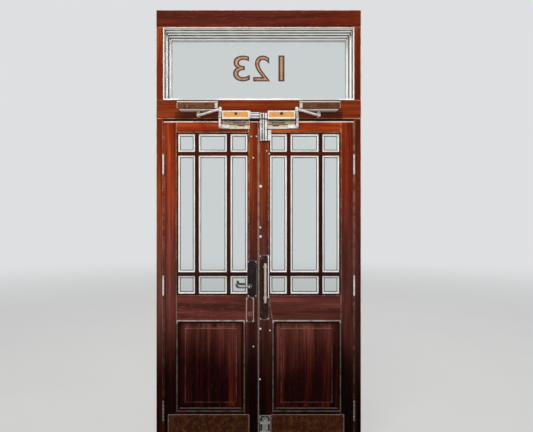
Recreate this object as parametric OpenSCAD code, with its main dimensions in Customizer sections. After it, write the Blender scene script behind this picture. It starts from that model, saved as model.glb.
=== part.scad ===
// Pair of glazed and panelled timber entrance doors in a frame with a fixed transom light.
// The inside face of the leaves is the plane y = 0 and the room is on the -Y side.
// The origin is on the underside of the threshold, midway between the jambs.

/* [Leaves] */
// Width of one leaf
leaf_w = 610; // [560:1:700]
// Height of one leaf
leaf_h = 2134; // [2050:1:2250]
// Thickness of a leaf
leaf_t = 44; // [40:1:50]
// Gap between the two leaves at the inside face
meeting_gap = 5; // [5:0.5:8]
// Bevel of the meeting edges
meeting_bevel = 3; // [3:0.5:4]
// Gap between a leaf and its jamb
side_gap = 3; // [2:0.5:5]
// Gap above a leaf
top_gap = 4; // [4:0.5:8]
// Gap between a leaf and the threshold
bottom_gap = 6; // [5:0.5:12]
// Width of the hinge stile
hinge_stile_w = 82; // [70:1:110]
// Width of the meeting stile beside the glass
meeting_stile_w = 62; // [55:1:75]
// Width that the meeting stile gains below the lock rail
stile_swell = 24; // [0:1:40]
// Height of the top rail
top_rail_h = 82; // [70:1:120]
// Height of the lock rail
lock_rail_h = 158; // [120:1:220]
// Height of the bottom rail
bottom_rail_h = 252; // [200:1:320]
// Height of the lower panel's opening
panel_h = 590; // [450:1:700]

/* [Glazing] */
// Width of a glazing bar
bar_w = 26; // [20:1:36]
// Width of the bead round the glazed opening
bead_w = 10; // [8:1:16]
// Width of the narrow side panes
side_pane_w = 107; // [80:1:130]
// Height of the short top and bottom panes
short_pane_h = 113; // [80:1:150]
// Thickness of the glass
glass_t = 4; // [3:0.5:6]
// Depth of the glazing groove
glass_bite = 7; // [4:0.5:8]
// Set-back of the bars from the faces of the leaf
bar_inset = 5; // [2:0.5:8]
// Width of the flat nose of a glazing bar
bar_nose = 8; // [5:0.5:12]

/* [Panels] */
// Width of the moulding round a panel
panel_mould_w = 20; // [14:1:28]
// Depth of the moulding below the face of the leaf
panel_mould_d = 10; // [6:0.5:12]
// Radius of the bead along the moulding's outer edge
panel_bead_r = 4; // [3:0.5:5]
// Overlap of the bead on the face of the rails and stiles
panel_lap = 4; // [2:0.5:5]
// Width of the sloped margin of the raised panel
panel_margin = 34; // [20:1:50]
// Thickness of the raised field
panel_t = 30; // [24:1:36]
// Thickness of the panel at its edge
panel_edge_t = 12; // [8:1:16]
// Depth of the groove that holds the panel
panel_groove = 10; // [6:1:14]

/* [Frame] */
// Width of a jamb's face
jamb_w = 44; // [35:1:70]
// Depth of the frame through the wall
frame_d = 190; // [170:1:240]
// Height of the transom bar
transom_bar_h = 124; // [90:1:160]
// Height of the opening above the transom bar
transom_h = 467; // [300:1:700]
// Height of the head rail
head_h = 110; // [60:1:160]
// Projection of the door stops
stop_w = 12; // [10:1:20]
// Gap between a leaf and its stop
stop_gap = 2; // [1:0.5:4]
// Amount that the transom bar and head stand proud of the jambs
bar_proud = 4; // [1:0.5:8]
// Small chamfer on the frame's edges
frame_chamfer = 3; // [1:0.5:6]
// Height of the threshold
threshold_h = 12; // [8:1:25]
// Amount that the threshold runs out past each face of the frame
threshold_lip = 20; // [10:1:40]

/* [Transom light] */
// Thickness of the pale lining at the face of the frame
lining_t = 4; // [2:0.5:8]
// Number of steps in the lining, from the face of the frame to the glass
lining_steps = 5; // [3:1:6]
// Width of one step of the lining
step_w = 5.5; // [3:0.5:7]
// Set-back of the transom glass
light_glass_y = 148; // [120:1:156]
// Height of the transom light's sill at the face of the frame
light_sill_h = 8; // [5:1:30]

/* [Hinges] */
// Height of a hinge
hinge_h = 120; // [90:1:150]
// Radius of the hinge knuckles
knuckle_r = 6.5; // [5:0.1:8]
// Radius of the hinge pin
pin_r = 3.5; // [2.5:0.1:4.5]
// Running clearance round the hinge pin
pin_fit = 0.05; // [0.02:0.01:0.1]
// Thickness of a hinge plate
plate_t = 2.5; // [2:0.1:3.5]
// Depth of a hinge plate into the leaf
plate_d = 32; // [22:1:38]
// Gap between knuckles
knuckle_gap = 0.5; // [0.2:0.1:1]
// Height of the button tips of a hinge pin
hinge_tip_h = 5; // [3:0.5:8]
// Height of the bottom hinge's centre above the leaf's bottom
hinge_low = 259; // [180:1:400]
// Height of the middle hinge's centre above the leaf's bottom
hinge_mid = 1065; // [900:1:1200]
// Height of the top hinge's centre above the leaf's bottom
hinge_top = 1845; // [1700:1:1950]

/* [Closers] */
// Length of a closer's body
closer_l = 257; // [200:1:300]
// Height of a closer's body
closer_h = 67; // [50:1:80]
// Depth of a closer's body
closer_d = 60; // [45:1:70]
// Height of a closer above the underside of the transom bar
closer_up = 44; // [40:1:56]
// Distance from the middle of the door to a closer's inner end
closer_in = 260; // [240:1:300]
// Length of the bright cap on a closer's inner end
closer_cap_l = 16; // [8:1:24]
// Bevel of a closer's front edges
closer_bevel = 8; // [4:0.5:10]
// Size of the corner cut off the lower outer end of a closer
closer_corner = 17; // [8:1:24]
// Radius of the boss round a closer's spindle
closer_boss_r = 15; // [12:0.5:18]
// Distance from the hinge axis to a closer's spindle
spindle_u = 232; // [200:1:260]
// Distance from the face of the bar to a closer's spindle
spindle_v = 33; // [28:1:40]
// Radius of a closer's spindle
spindle_r = 7; // [5:0.5:9]
// Length of a closer's main arm between centres
main_arm_l = 230; // [225:1:245]
// Length of a closer's forearm between centres
forearm_l = 171; // [165:1:185]
// Thickness of a closer's arms
arm_t = 8; // [5:0.5:9]
// Width of a closer's arms
arm_w = 18; // [12:1:24]
// Distance from the hinge axis to the shoe's stud
shoe_u = 367; // [355:1:370]
// Distance from the face of the leaf to the shoe's stud
shoe_v = 35; // [30:1:42]
// Radius of the shoe's stud
stud_r = 5; // [4:0.5:7]
// Clearance of the arms above the leaf
arm_lift = 5.5; // [5:0.5:8]
// Gap between the main arm and the forearm
arm_gap = 2.5; // [1:0.5:4]
// Radius of the knob at the elbow
elbow_r = 8; // [6:0.5:9]
// Number of adjusting holes in a forearm
forearm_holes = 5; // [3:1:6]
// Radius of the adjusting holes
forearm_hole_r = 3; // [2:0.5:4]
// Length of a shoe's foot, inwards from the stud
shoe_foot_l = 62; // [40:1:80]
// Height of a shoe's foot
shoe_foot_h = 24; // [18:1:28]
// Distance from the leaf's top down to the lower edge of the foot
shoe_foot_down = 56; // [50:1:58]

/* [Magnetic lock] */
// Distance from the middle of the door to a bracket's inner end
bracket_in = 58; // [40:1:80]
// Distance from the middle of the door to a bracket's outer end
bracket_out = 232; // [200:1:234]
// Thickness of a bracket
bracket_t = 4; // [3:0.5:5]
// Height of a bracket's lower flange
bracket_low_h = 59; // [40:1:75]
// Depth of the magnet housing
magnet_d = 27; // [20:1:35]
// Height of the magnet housing
magnet_h = 42; // [34:1:43]
// Gap between a magnet and its armature
magnet_gap = 1.5; // [1:0.5:3]
// Thickness of an armature
armature_t = 12; // [8:1:16]
// Height of the ribbed cover between the magnets
cover_h = 34; // [28:1:40]
// Depth of the ribbed cover between the magnets
cover_d = 31; // [24:1:36]
// Height of the slots in a bracket's lower flange
slot_h = 9; // [5:0.5:10]
// Length of the upper slot
slot_long = 87; // [60:1:110]
// Length of the lower slot
slot_short = 45; // [30:1:60]
// Distance from the upper slot to the bracket's inner end
slot_in = 24; // [16:1:34]

/* [Furniture] */
// Thickness of the kick plates
kick_t = 2; // [1:0.5:3]
// Height of the kick plates
kick_h = 203; // [150:1:210]
// Height of a kick plate's lower edge above the leaf's bottom
kick_up = 30; // [10:1:40]
// Width of the left kick plate
left_kick_w = 523; // [480:1:530]
// Distance from the left kick plate to the hinge edge of its leaf
left_kick_side = 28; // [10:1:40]
// Width of the right kick plate
right_kick_w = 472; // [420:1:475]
// Distance from the right kick plate to the hinge edge of its leaf
right_kick_side = 62; // [40:1:64]
// Height of the lever's axis above the leaf's bottom
lever_z = 1061; // [1020:1:1100]
// Distance from the middle of the door to the lever's axis
lever_x = 56; // [45:1:65]
// Length of the lever from its axis
lever_l = 92; // [80:1:120]
// Radius of the lever's grip
lever_r = 8; // [6:0.5:10]
// Radius of the lever's spindle
lever_spindle_r = 6; // [4:0.5:8]
// Distance of the lever's grip from the leaf
lever_out = 50; // [42:1:60]
// Radius of the upturned end of the lever
lever_curl_r = 16; // [10:1:24]
// Height of the lock plate
lock_plate_h = 236; // [200:1:260]
// Width of the lock plate
lock_plate_w = 62; // [50:1:66]
// Distance from the lock plate to the meeting edge
lock_plate_side = 9; // [4:1:14]
// Height of the lock plate's upper end above the lever's axis
lock_plate_up = 165; // [120:1:180]
// Height of the key plate
key_plate_h = 158; // [120:1:180]
// Width of the key plate
key_plate_w = 54; // [44:1:62]
// Thickness of the lock plate, key plate and pull plate
trim_t = 3; // [2:0.5:5]
// Radius of the key cylinder
cylinder_r = 14; // [10:1:18]
// Distance from the key plate's upper end down to the key cylinder
key_down = 105; // [60:1:120]
// Radius of the corners of the plates
plate_corner_r = 6; // [2:0.5:10]
// Height of the pull plate
pull_plate_h = 418; // [350:1:460]
// Width of the pull plate
pull_plate_w = 62; // [50:1:66]
// Height of the pull plate's upper end above the leaf's bottom
pull_plate_up = 1261; // [1220:1:1300]
// Distance from the pull plate to the meeting edge
pull_plate_side = 2; // [1:0.5:3]
// Distance from the pull plate's edge to the middle of the handle
pull_in = 38; // [30:1:44]
// Distance from the pull plate's upper end down to the handle's upper foot
pull_down = 76; // [50:1:100]
// Length of the handle beyond each foot
pull_over = 20; // [10:1:30]
// Distance between the feet of the pull handle
pull_span = 200; // [150:1:250]
// Radius of the pull handle
pull_r = 8; // [6:0.5:12]
// Distance of the pull handle's centre from the leaf
pull_out = 48; // [40:1:60]
// Height of the top bolt's plate
top_bolt_h = 134; // [100:1:180]
// Width of the top bolt's plate and of its keeper
top_bolt_w = 46; // [42:1:48]
// Height of the bottom bolt's plate
bottom_bolt_h = 222; // [160:1:240]
// Width of the bottom bolt's plate
bottom_bolt_w = 68; // [50:1:70]
// Distance from the bolts' plates to the meeting edge
bolt_side = 6; // [3:0.5:8]
// Radius of the bolt rods
bolt_r = 5; // [4:0.5:6]
// Width of the cheeks on each side of a bolt rod
cheek_w = 7; // [4:0.5:8]
// Projection of the cheeks from a bolt's plate
cheek_d = 10; // [8:0.5:12]
// Width of the thumb piece beside the top bolt
thumb_w = 22; // [16:1:24]
// Length of the knob of the bottom bolt
bolt_knob_l = 22; // [14:1:30]

/* [Fixings] */
// Radius of the fixing holes through the jambs
fixing_r = 4; // [3:0.5:6]
// Distance between the two fixing holes of a jamb
fixing_span = 900; // [600:10:1100]
// Height of the middle of the fixing holes
fixing_z = 1000; // [950:10:1050]

/* [Hidden] */
$fn = 48;
EPS = 0.01;
arc_steps = 5;
leaf_z0 = threshold_h + bottom_gap;
leaf_z1 = leaf_z0 + leaf_h;
leaf_x0 = -(meeting_gap / 2 + leaf_w);
leaf_x1 = -meeting_gap / 2;
jamb_x = leaf_x0 - side_gap;
frame_x = jamb_x - jamb_w;
hinge_x = (leaf_x0 + jamb_x) / 2;
hinge_y = -(knuckle_r + 0.5);
bar_z0 = leaf_z1 + top_gap;
bar_z1 = bar_z0 + transom_bar_h;
head_z0 = bar_z1 + transom_h;
head_z1 = head_z0 + head_h;
stop_y = leaf_t + stop_gap;

lock_rail_z0 = leaf_z0 + bottom_rail_h + panel_h;
lock_rail_z1 = lock_rail_z0 + lock_rail_h;
top_rail_z0 = leaf_z1 - top_rail_h;
bottom_rail_z1 = leaf_z0 + bottom_rail_h;
stile_x0 = leaf_x0 + hinge_stile_w;
stile_x1 = leaf_x1 - meeting_stile_w;
bead_foot = 1;
panel_x1 = stile_x1 - stile_swell;
light_w = stile_x1 - stile_x0;
light_h = top_rail_z0 - lock_rail_z1;
mid_pane_w = light_w - 2 * bead_w - 2 * bar_w - 2 * side_pane_w;
tall_pane_h = light_h - 2 * bead_w - 2 * bar_w - 2 * short_pane_h;
pane_x = [stile_x0 + bead_w,
          stile_x0 + bead_w + side_pane_w + bar_w,
          stile_x1 - bead_w - side_pane_w];
pane_w = [side_pane_w, mid_pane_w, side_pane_w];
pane_z = [lock_rail_z1 + bead_w,
          lock_rail_z1 + bead_w + short_pane_h + bar_w,
          top_rail_z0 - bead_w - short_pane_h];
pane_h = [short_pane_h, tall_pane_h, short_pane_h];

hinge_z = [leaf_z0 + hinge_low, leaf_z0 + hinge_mid, leaf_z0 + hinge_top];

closer_z0 = bar_z0 + closer_up;
forearm_z0 = leaf_z1 + arm_lift;
main_arm_z0 = forearm_z0 + arm_t + arm_gap;
spindle = [hinge_x + spindle_u, -spindle_v];
stud = [hinge_x + shoe_u, -shoe_v];
reach = norm(stud - spindle);
arm_turn = acos((main_arm_l * main_arm_l + reach * reach - forearm_l * forearm_l)
                / (2 * main_arm_l * reach));
arm_base = atan2(stud[1] - spindle[1], stud[0] - spindle[0]);
elbow = spindle + main_arm_l * [cos(arm_base - arm_turn), sin(arm_base - arm_turn)];

light_in = lining_t + (lining_steps - 1) * step_w;
magnet_z0 = bar_z0 + 2;
magnet_z1 = magnet_z0 + magnet_h;
armature_y0 = -magnet_d - magnet_gap;
bracket_y = armature_y0 - armature_t;
bracket_web_z1 = leaf_z1 - 1;
bolt_x0 = meeting_gap / 2 + bolt_side;
top_bolt_x1 = bolt_x0 + top_bolt_w;
lever_axis_z = leaf_z0 + lever_z;

// Box from one corner to the other
module block(low, high) {
    translate(low)
        cube(high - low);
}

module to_right() {
    mirror([1, 0, 0])
        children();
}

// Profile in Y and Z, run along X
module along_x(x0, x1) {
    translate([x0, 0, 0])
        rotate([90, 0, 90])
            linear_extrude(x1 - x0)
                children();
}

// Outline in X and Z, run along Y
module along_y(y0, y1) {
    translate([0, y1, 0])
        rotate([90, 0, 0])
            linear_extrude(y1 - y0)
                children();
}

// Flat plate with round corners, parallel to the leaf
module rounded_plate(low, high, corner) {
    x0 = low[0];
    x1 = high[0];
    z0 = low[2];
    z1 = high[2];
    union() {
        block([x0 + corner, low[1], z0], [x1 - corner, high[1], z1]);
        block([x0, low[1], z0 + corner], [x1, high[1], z1 - corner]);
        for (x = [x0 + corner, x1 - corner])
            for (z = [z0 + corner, z1 - corner])
                translate([x, high[1], z])
                    rotate([90, 0, 0])
                        cylinder(h = high[1] - low[1], r = corner);
    }
}

// Peg that points out into the room from depth y
module peg(x, y, z, length, r) {
    translate([x, y, z])
        rotate([90, 0, 0])
            cylinder(h = length, r = r);
}

// Outline of a jamb seen from above: a rebate for the leaf and a stop behind it
function jamb_outline() = [
    [frame_x, 0],
    [jamb_x - frame_chamfer, 0],
    [jamb_x, frame_chamfer],
    [jamb_x, stop_y],
    [jamb_x + stop_w - frame_chamfer, stop_y],
    [jamb_x + stop_w, stop_y + frame_chamfer],
    [jamb_x + stop_w, frame_d - frame_chamfer],
    [jamb_x + stop_w - frame_chamfer, frame_d],
    [frame_x, frame_d]];

module jamb() {
    difference() {
        union() {
            translate([0, 0, threshold_h])
                linear_extrude(bar_z0 - threshold_h)
                    polygon(jamb_outline());
            block([frame_x, 0, bar_z0], [jamb_x, frame_d, head_z0]);
        }
        for (z = hinge_z)
            block([jamb_x - plate_t, -1, z - hinge_h / 2],
                  [jamb_x + 1, plate_d, z + hinge_h / 2]);
        for (side = [-1, 1])
            translate([frame_x - 1, leaf_t / 2, fixing_z + side * fixing_span / 2])
                rotate([0, 90, 0])
                    cylinder(h = jamb_w + 2, r = fixing_r);
    }
}

module left_jamb() {
    color("#6b2412")
        jamb();
}

module right_jamb() {
    color("#6b2412")
        to_right()
            jamb();
}

// Lower edge chamfered at the face, square where the lining meets it
module head_rail() {
    edge = min(frame_chamfer, bar_proud);
    color("#5e1c10")
        along_x(frame_x, -frame_x)
            polygon([[-bar_proud, head_z0 + edge], [edge - bar_proud, head_z0],
                     [frame_d, head_z0], [frame_d, head_z1], [-bar_proud, head_z1]]);
}

// The bar lies between the jambs at the back and over their faces at the front
module transom_bar() {
    edge = min(frame_chamfer, bar_proud);
    color("#7a2a14")
        union() {
            block([jamb_x, 0, bar_z0], [-jamb_x, frame_d, bar_z1]);
            along_x(jamb_x + stop_w, -jamb_x - stop_w)
                polygon([[stop_y, bar_z0 + EPS], [stop_y, bar_z0 - stop_w + frame_chamfer],
                         [stop_y + frame_chamfer, bar_z0 - stop_w], [frame_d, bar_z0 - stop_w],
                         [frame_d, bar_z0 + EPS]]);
            along_x(frame_x, -frame_x)
                polygon([[-bar_proud, bar_z0 + edge], [edge - bar_proud, bar_z0], [0, bar_z0],
                         [0, bar_z1], [edge - bar_proud, bar_z1], [-bar_proud, bar_z1 - edge]]);
        }
}

// Flat under the frame and the leaves, sloped off at both lips
module threshold() {
    toe = threshold_h / 3;
    color("#7d7468")
        along_x(frame_x, -frame_x)
            polygon([[-threshold_lip, 0], [-threshold_lip, toe], [0, threshold_h],
                     [frame_d, threshold_h], [frame_d + threshold_lip, toe],
                     [frame_d + threshold_lip, 0]]);
}

// Steps in set-in and depth, from the face of the frame to the glass
function lining_steps_outline() = concat(
    [[0, -1]],
    [for (k = [0:lining_steps - 1])
        for (end = [0, 1])
            [k * step_w, (k + end) * light_glass_y / lining_steps]],
    [[(lining_steps - 1) * step_w, light_glass_y + 1]]);

module transom_lining() {
    x0 = jamb_x;
    color("#e6e0d2")
        difference() {
            block([x0, 0, bar_z1], [-x0, light_glass_y, head_z0]);
            flared_hollow(x0 + lining_t, -x0 - lining_t, bar_z1 + light_sill_h,
                          head_z0 - lining_t, lining_steps_outline());
        }
}

module transom_beads() {
    x0 = jamb_x;
    y0 = light_glass_y + glass_t;
    sill_z = bar_z1 + light_sill_h + light_in - lining_t;
    color("#e6e0d2")
        difference() {
            block([x0, y0, bar_z1], [-x0, frame_d - bar_proud, head_z0]);
            block([x0 + light_in, y0 - 1, sill_z], [-x0 - light_in, frame_d, head_z0 - light_in]);
            translate([0, frame_d, 0])
                mirror([0, 1, 0])
                    flared_hollow(x0 + light_in - frame_chamfer, -x0 - light_in + frame_chamfer,
                                  sill_z - frame_chamfer, head_z0 - light_in + frame_chamfer,
                                  [[0, -1], [0, bar_proud],
                                   [frame_chamfer, bar_proud + frame_chamfer]]);
        }
}

module transom_glass() {
    edge = 3;
    color("#cfe0e2", 0.35)
        block([jamb_x + edge, light_glass_y, bar_z1 + edge],
              [-jamb_x - edge, light_glass_y + glass_t, head_z0 - edge]);
}

// Knuckles are counted from the bottom; the frame has the even ones and the leaf the odd ones
module knuckles(first, last) {
    pitch = hinge_h / 5;
    for (k = [first:2:last])
        translate([hinge_x, hinge_y, k * pitch + knuckle_gap / 2])
            cylinder(h = pitch - knuckle_gap, r = knuckle_r);
}

module hinge_tabs(first, last, x0, x1) {
    pitch = hinge_h / 5;
    for (k = [first:2:last])
        block([x0, hinge_y, k * pitch + knuckle_gap / 2],
              [x1, 1, (k + 1) * pitch - knuckle_gap / 2]);
}

module frame_hinges() {
    for (z = hinge_z)
        translate([0, 0, z - hinge_h / 2])
            union() {
                knuckles(0, 4);
                hinge_tabs(0, 4, jamb_x - plate_t, jamb_x);
                block([jamb_x - plate_t, 0.5, 0], [jamb_x, plate_d, hinge_h]);
                translate([hinge_x, hinge_y, -hinge_tip_h])
                    cylinder(h = hinge_h + 2 * hinge_tip_h, r = pin_r);
                for (tip_z = [-hinge_tip_h, hinge_h])
                    translate([hinge_x, hinge_y, tip_z])
                        cylinder(h = hinge_tip_h, r = (knuckle_r + pin_r) / 2);
            }
}

module left_frame_hinges() {
    color("#b9bcc0")
        frame_hinges();
}

module right_frame_hinges() {
    color("#b9bcc0")
        to_right()
            frame_hinges();
}

module leaf_hinges() {
    for (z = hinge_z)
        translate([0, 0, z - hinge_h / 2])
            difference() {
                union() {
                    knuckles(1, 3);
                    hinge_tabs(1, 3, leaf_x0, leaf_x0 + plate_t);
                    block([leaf_x0, 0.5, 0], [leaf_x0 + plate_t, plate_d, hinge_h]);
                }
                translate([hinge_x, hinge_y, -1])
                    cylinder(h = hinge_h + 2, r = pin_r + pin_fit);
            }
}

// End profile of a closer's case, with the front edges bevelled and a step along the top
function closer_profile(inset) = let (
    y0 = inset - closer_d,
    y1 = -bar_proud,
    z0 = closer_z0 + inset,
    z1 = closer_z0 + closer_h - inset,
    shoulder = closer_h / 5)
    [[y1, z0], [y0 + closer_bevel, z0], [y0, z0 + closer_bevel],
     [y0, z1 - shoulder - closer_bevel], [y0 + closer_bevel / 2, z1 - shoulder],
     [y0 + 2 * closer_bevel, z1], [y1, z1]];

module closer() {
    x0 = -closer_in - closer_l;
    x1 = -closer_in - closer_cap_l;
    z1 = closer_z0 + closer_h;
    nut_h = 6;
    nut_r = spindle_r + 3;
    union() {
        intersection() {
            along_x(x0, x1)
                polygon(closer_profile(0));
            along_y(-closer_d, -bar_proud)
                polygon([[x0, closer_z0 + closer_corner], [x0 + closer_corner, closer_z0],
                         [x1, closer_z0], [x1, z1], [x0, z1]]);
        }
        along_x(x1 - 1, -closer_in)
            polygon(closer_profile(2));
        translate([spindle[0], spindle[1], main_arm_z0 + arm_t + 2])
            cylinder(h = closer_z0 + 1 - main_arm_z0 - arm_t - 2, r = closer_boss_r);
        translate([spindle[0], spindle[1], main_arm_z0 - 2])
            cylinder(h = closer_z0 - main_arm_z0 + 3, r = spindle_r);
        translate([spindle[0], spindle[1], main_arm_z0 - 2 - nut_h])
            cylinder(h = nut_h, r = nut_r);
    }
}

module left_closer() {
    color("#6d4a2c")
        closer();
}

module right_closer() {
    color("#6d4a2c")
        to_right()
            closer();
}

// Two long magnets with a ribbed cover between them; the top bolt's keeper takes the rest
module magnet_housing() {
    rib = cover_h / 8;
    cover_x0 = 6 - bracket_in;
    cover_x1 = bolt_x0 - 4;
    color("#8d9093")
        union() {
            block([3 - bracket_out, -magnet_d, magnet_z0], [cover_x0, -bar_proud, magnet_z1]);
            difference() {
                block([cover_x0 - 1, -cover_d, magnet_z0],
                      [cover_x1, -bar_proud, magnet_z0 + cover_h]);
                for (k = [1, 3, 6])
                    block([cover_x0 + 1, -cover_d - 1, magnet_z0 + k * rib],
                          [cover_x1 + 1, 4 - cover_d, magnet_z0 + (k + 1) * rib]);
            }
            block([top_bolt_x1 + 4, -magnet_d, magnet_z0],
                  [bracket_out - 3, -bar_proud, magnet_z1]);
        }
}

// Channel of the top bolt's rod: a plate with a cheek on each side of the rod and a flange
module bolt_channel(x0, w, z0, z1) {
    rod_gap = 2 * bolt_r + 2;
    channel_w = 2 * cheek_w + rod_gap;
    union() {
        block([x0, -trim_t, z0], [x0 + w, 0, z1]);
        for (x = [x0, x0 + cheek_w + rod_gap])
            block([x, -trim_t - cheek_d, z0], [x + cheek_w, -trim_t + EPS, z1]);
        block([x0 + channel_w + 3, -2 * trim_t, z0], [x0 + w, -trim_t + EPS, z1]);
    }
}

module bolt_keepers() {
    z0 = magnet_z0;
    z1 = magnet_z0 + cover_h;
    color("#c4c7ca")
        union() {
            translate([0, -bar_proud, 0])
                bolt_channel(bolt_x0, top_bolt_w, z0, z1);
            block([bolt_x0 + 1, -bar_proud - trim_t - cheek_d + 2, z1 - cheek_w],
                  [bolt_x0 + 2 * cheek_w + 2 * bolt_r + 1, -bar_proud - trim_t, z1]);
        }
}

module hinge_stile() {
    difference() {
        block([leaf_x0, 0, leaf_z0], [stile_x0, leaf_t, leaf_z1]);
        for (z = hinge_z)
            block([leaf_x0 - 1, -1, z - hinge_h / 2],
                  [leaf_x0 + plate_t, plate_d, z + hinge_h / 2]);
        block([stile_x0 - panel_groove, (leaf_t - panel_edge_t) / 2, bottom_rail_z1 - panel_groove],
              [stile_x0 + 1, (leaf_t + panel_edge_t) / 2, lock_rail_z0 + panel_groove]);
    }
}

// The stile widens across the lock rail, and its meeting edge is bevelled
module meeting_stile() {
    back_x = leaf_x1 - leaf_t * tan(meeting_bevel);
    difference() {
        intersection() {
            translate([0, leaf_t, 0])
                rotate([90, 0, 0])
                    linear_extrude(leaf_t)
                        polygon([[panel_x1, leaf_z0], [leaf_x1, leaf_z0], [leaf_x1, leaf_z1],
                                 [stile_x1, leaf_z1], [stile_x1, lock_rail_z1],
                                 [panel_x1, lock_rail_z0]]);
            translate([0, 0, leaf_z0])
                linear_extrude(leaf_h)
                    polygon([[panel_x1, 0], [leaf_x1, 0], [back_x, leaf_t], [panel_x1, leaf_t]]);
        }
        block([panel_x1 - 1, (leaf_t - panel_edge_t) / 2, bottom_rail_z1 - panel_groove],
              [panel_x1 + panel_groove, (leaf_t + panel_edge_t) / 2,
               lock_rail_z0 + panel_groove]);
    }
}

module top_rail() {
    block([stile_x0, 0, top_rail_z0], [stile_x1, leaf_t, leaf_z1]);
}

module lock_rail() {
    difference() {
        translate([0, leaf_t, 0])
            rotate([90, 0, 0])
                linear_extrude(leaf_t)
                    polygon([[stile_x0, lock_rail_z0], [panel_x1, lock_rail_z0],
                             [stile_x1, lock_rail_z1], [stile_x0, lock_rail_z1]]);
        block([stile_x0 - 1, (leaf_t - panel_edge_t) / 2, lock_rail_z0 - 1],
              [panel_x1 + panel_groove, (leaf_t + panel_edge_t) / 2,
               lock_rail_z0 + panel_groove]);
    }
}

module bottom_rail() {
    difference() {
        block([stile_x0, 0, leaf_z0], [panel_x1, leaf_t, bottom_rail_z1]);
        block([stile_x0 - 1, (leaf_t - panel_edge_t) / 2, bottom_rail_z1 - panel_groove],
              [panel_x1 + 1, (leaf_t + panel_edge_t) / 2, bottom_rail_z1 + 1]);
    }
}

// Hollow with a rectangular mouth that narrows with depth along the given outline.
// The outline's points are a set-in from the mouth's edge and a depth.
module flared_hollow(x0, x1, z0, z1, outline) {
    n = len(outline) - 1;
    intersection() {
        translate([0, 0, z0 - 1])
            linear_extrude(z1 - z0 + 2)
                polygon(concat([for (p = outline) [x0 + p[0], p[1]]],
                               [for (k = [n:-1:0]) [x1 - outline[k][0], outline[k][1]]]));
        translate([x0 - 1, 0, 0])
            rotate([90, 0, 90])
                linear_extrude(x1 - x0 + 2)
                    polygon(concat([for (p = outline) [p[1], z0 + p[0]]],
                                   [for (k = [n:-1:0]) [outline[k][1], z1 - outline[k][0]]]));
    }
}

// Convex quarter round of width w and depth h, from its highest point
function quarter_round(x0, y0, w, h) = [
    for (k = [0:arc_steps])
        [x0 + w * sin(90 * k / arc_steps), y0 + h * (1 - cos(90 * k / arc_steps))]];

// Quarter-round moulding from the face in to the glass
function ovolo(w, y0, y1) = concat(
    [[-w, y0 - 1], [-w, y0]],
    quarter_round(-w, y0, w, y1 - y0));

module glazing_bars() {
    glass_y = (leaf_t - glass_t) / 2;
    mould = (bar_w - bar_nose) / 2;
    difference() {
        block([stile_x0, bar_inset, lock_rail_z1], [stile_x1, leaf_t - bar_inset, top_rail_z0]);
        for (i = [0:2])
            for (j = [0:2]) {
                x0 = pane_x[i];
                z0 = pane_z[j];
                x1 = x0 + pane_w[i];
                z1 = z0 + pane_h[j];
                flared_hollow(x0, x1, z0, z1, ovolo(mould, bar_inset, glass_y + EPS));
                translate([0, leaf_t, 0])
                    mirror([0, 1, 0])
                        flared_hollow(x0, x1, z0, z1, ovolo(mould, bar_inset, glass_y + EPS));
                block([x0 - glass_bite, glass_y, z0 - glass_bite],
                      [x1 + glass_bite, glass_y + glass_t, z1 + glass_bite]);
            }
    }
}

module glass() {
    glass_y = (leaf_t - glass_t) / 2;
    slack = 1;
    for (i = [0:2])
        for (j = [0:2])
            block([pane_x[i] - glass_bite + slack, glass_y, pane_z[j] - glass_bite + slack],
                  [pane_x[i] + pane_w[i] + glass_bite - slack, glass_y + glass_t,
                   pane_z[j] + pane_h[j] + glass_bite - slack]);
}

// Half outline of the raised panel, from its edge to its field
function panel_outline(low, high) = let (
    edge0 = (leaf_t - panel_edge_t) / 2,
    edge1 = (leaf_t + panel_edge_t) / 2,
    field0 = (leaf_t - panel_t) / 2,
    field1 = (leaf_t + panel_t) / 2,
    flat = panel_groove + panel_mould_w + 1,
    slope = flat + panel_margin)
    [[low, edge0], [low + flat, edge0], [low + slope, field0 + 2], [low + slope, field0],
     [high - slope, field0], [high - slope, field0 + 2], [high - flat, edge0], [high, edge0],
     [high, edge1], [high - flat, edge1], [high - slope, field1 - 2], [high - slope, field1],
     [low + slope, field1], [low + slope, field1 - 2], [low + flat, edge1], [low, edge1]];

module panel() {
    slack = 1;
    x0 = stile_x0 - panel_groove + slack;
    x1 = panel_x1 + panel_groove - slack;
    z0 = bottom_rail_z1 - panel_groove + slack;
    z1 = lock_rail_z0 + panel_groove - slack;
    intersection() {
        translate([0, 0, z0])
            linear_extrude(z1 - z0)
                polygon(panel_outline(x0, x1));
        translate([x0, 0, 0])
            rotate([90, 0, 90])
                linear_extrude(x1 - x0)
                    polygon([for (p = panel_outline(z0, z1)) [p[1], p[0]]]);
    }
}

// Outline across the moulding's outer edges, from the face of the leaf to the top of its beads
function bead_outline(low, high) = let (
    r = panel_bead_r,
    edge = [for (k = [0:arc_steps]) [r * (1 - cos(90 * k / arc_steps)),
                                     -bead_foot - r * sin(90 * k / arc_steps)]])
    concat([[low, 0]],
           [for (p = edge) [low + p[0], p[1]]],
           [for (k = [arc_steps:-1:0]) [high - edge[k][0], edge[k][1]]],
           [[high, 0]]);

// Slab under the whole moulding with its rounded outer edges
module bead_slab() {
    x0 = stile_x0 - panel_lap;
    x1 = panel_x1 + panel_lap;
    z0 = bottom_rail_z1 - panel_lap;
    z1 = lock_rail_z0 + panel_lap;
    intersection() {
        translate([0, 0, z0])
            linear_extrude(z1 - z0)
                polygon(bead_outline(x0, x1));
        translate([x0, 0, 0])
            rotate([90, 0, 90])
                linear_extrude(x1 - x0)
                    polygon([for (p = bead_outline(z0, z1)) [p[1], p[0]]]);
    }
}

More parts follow.
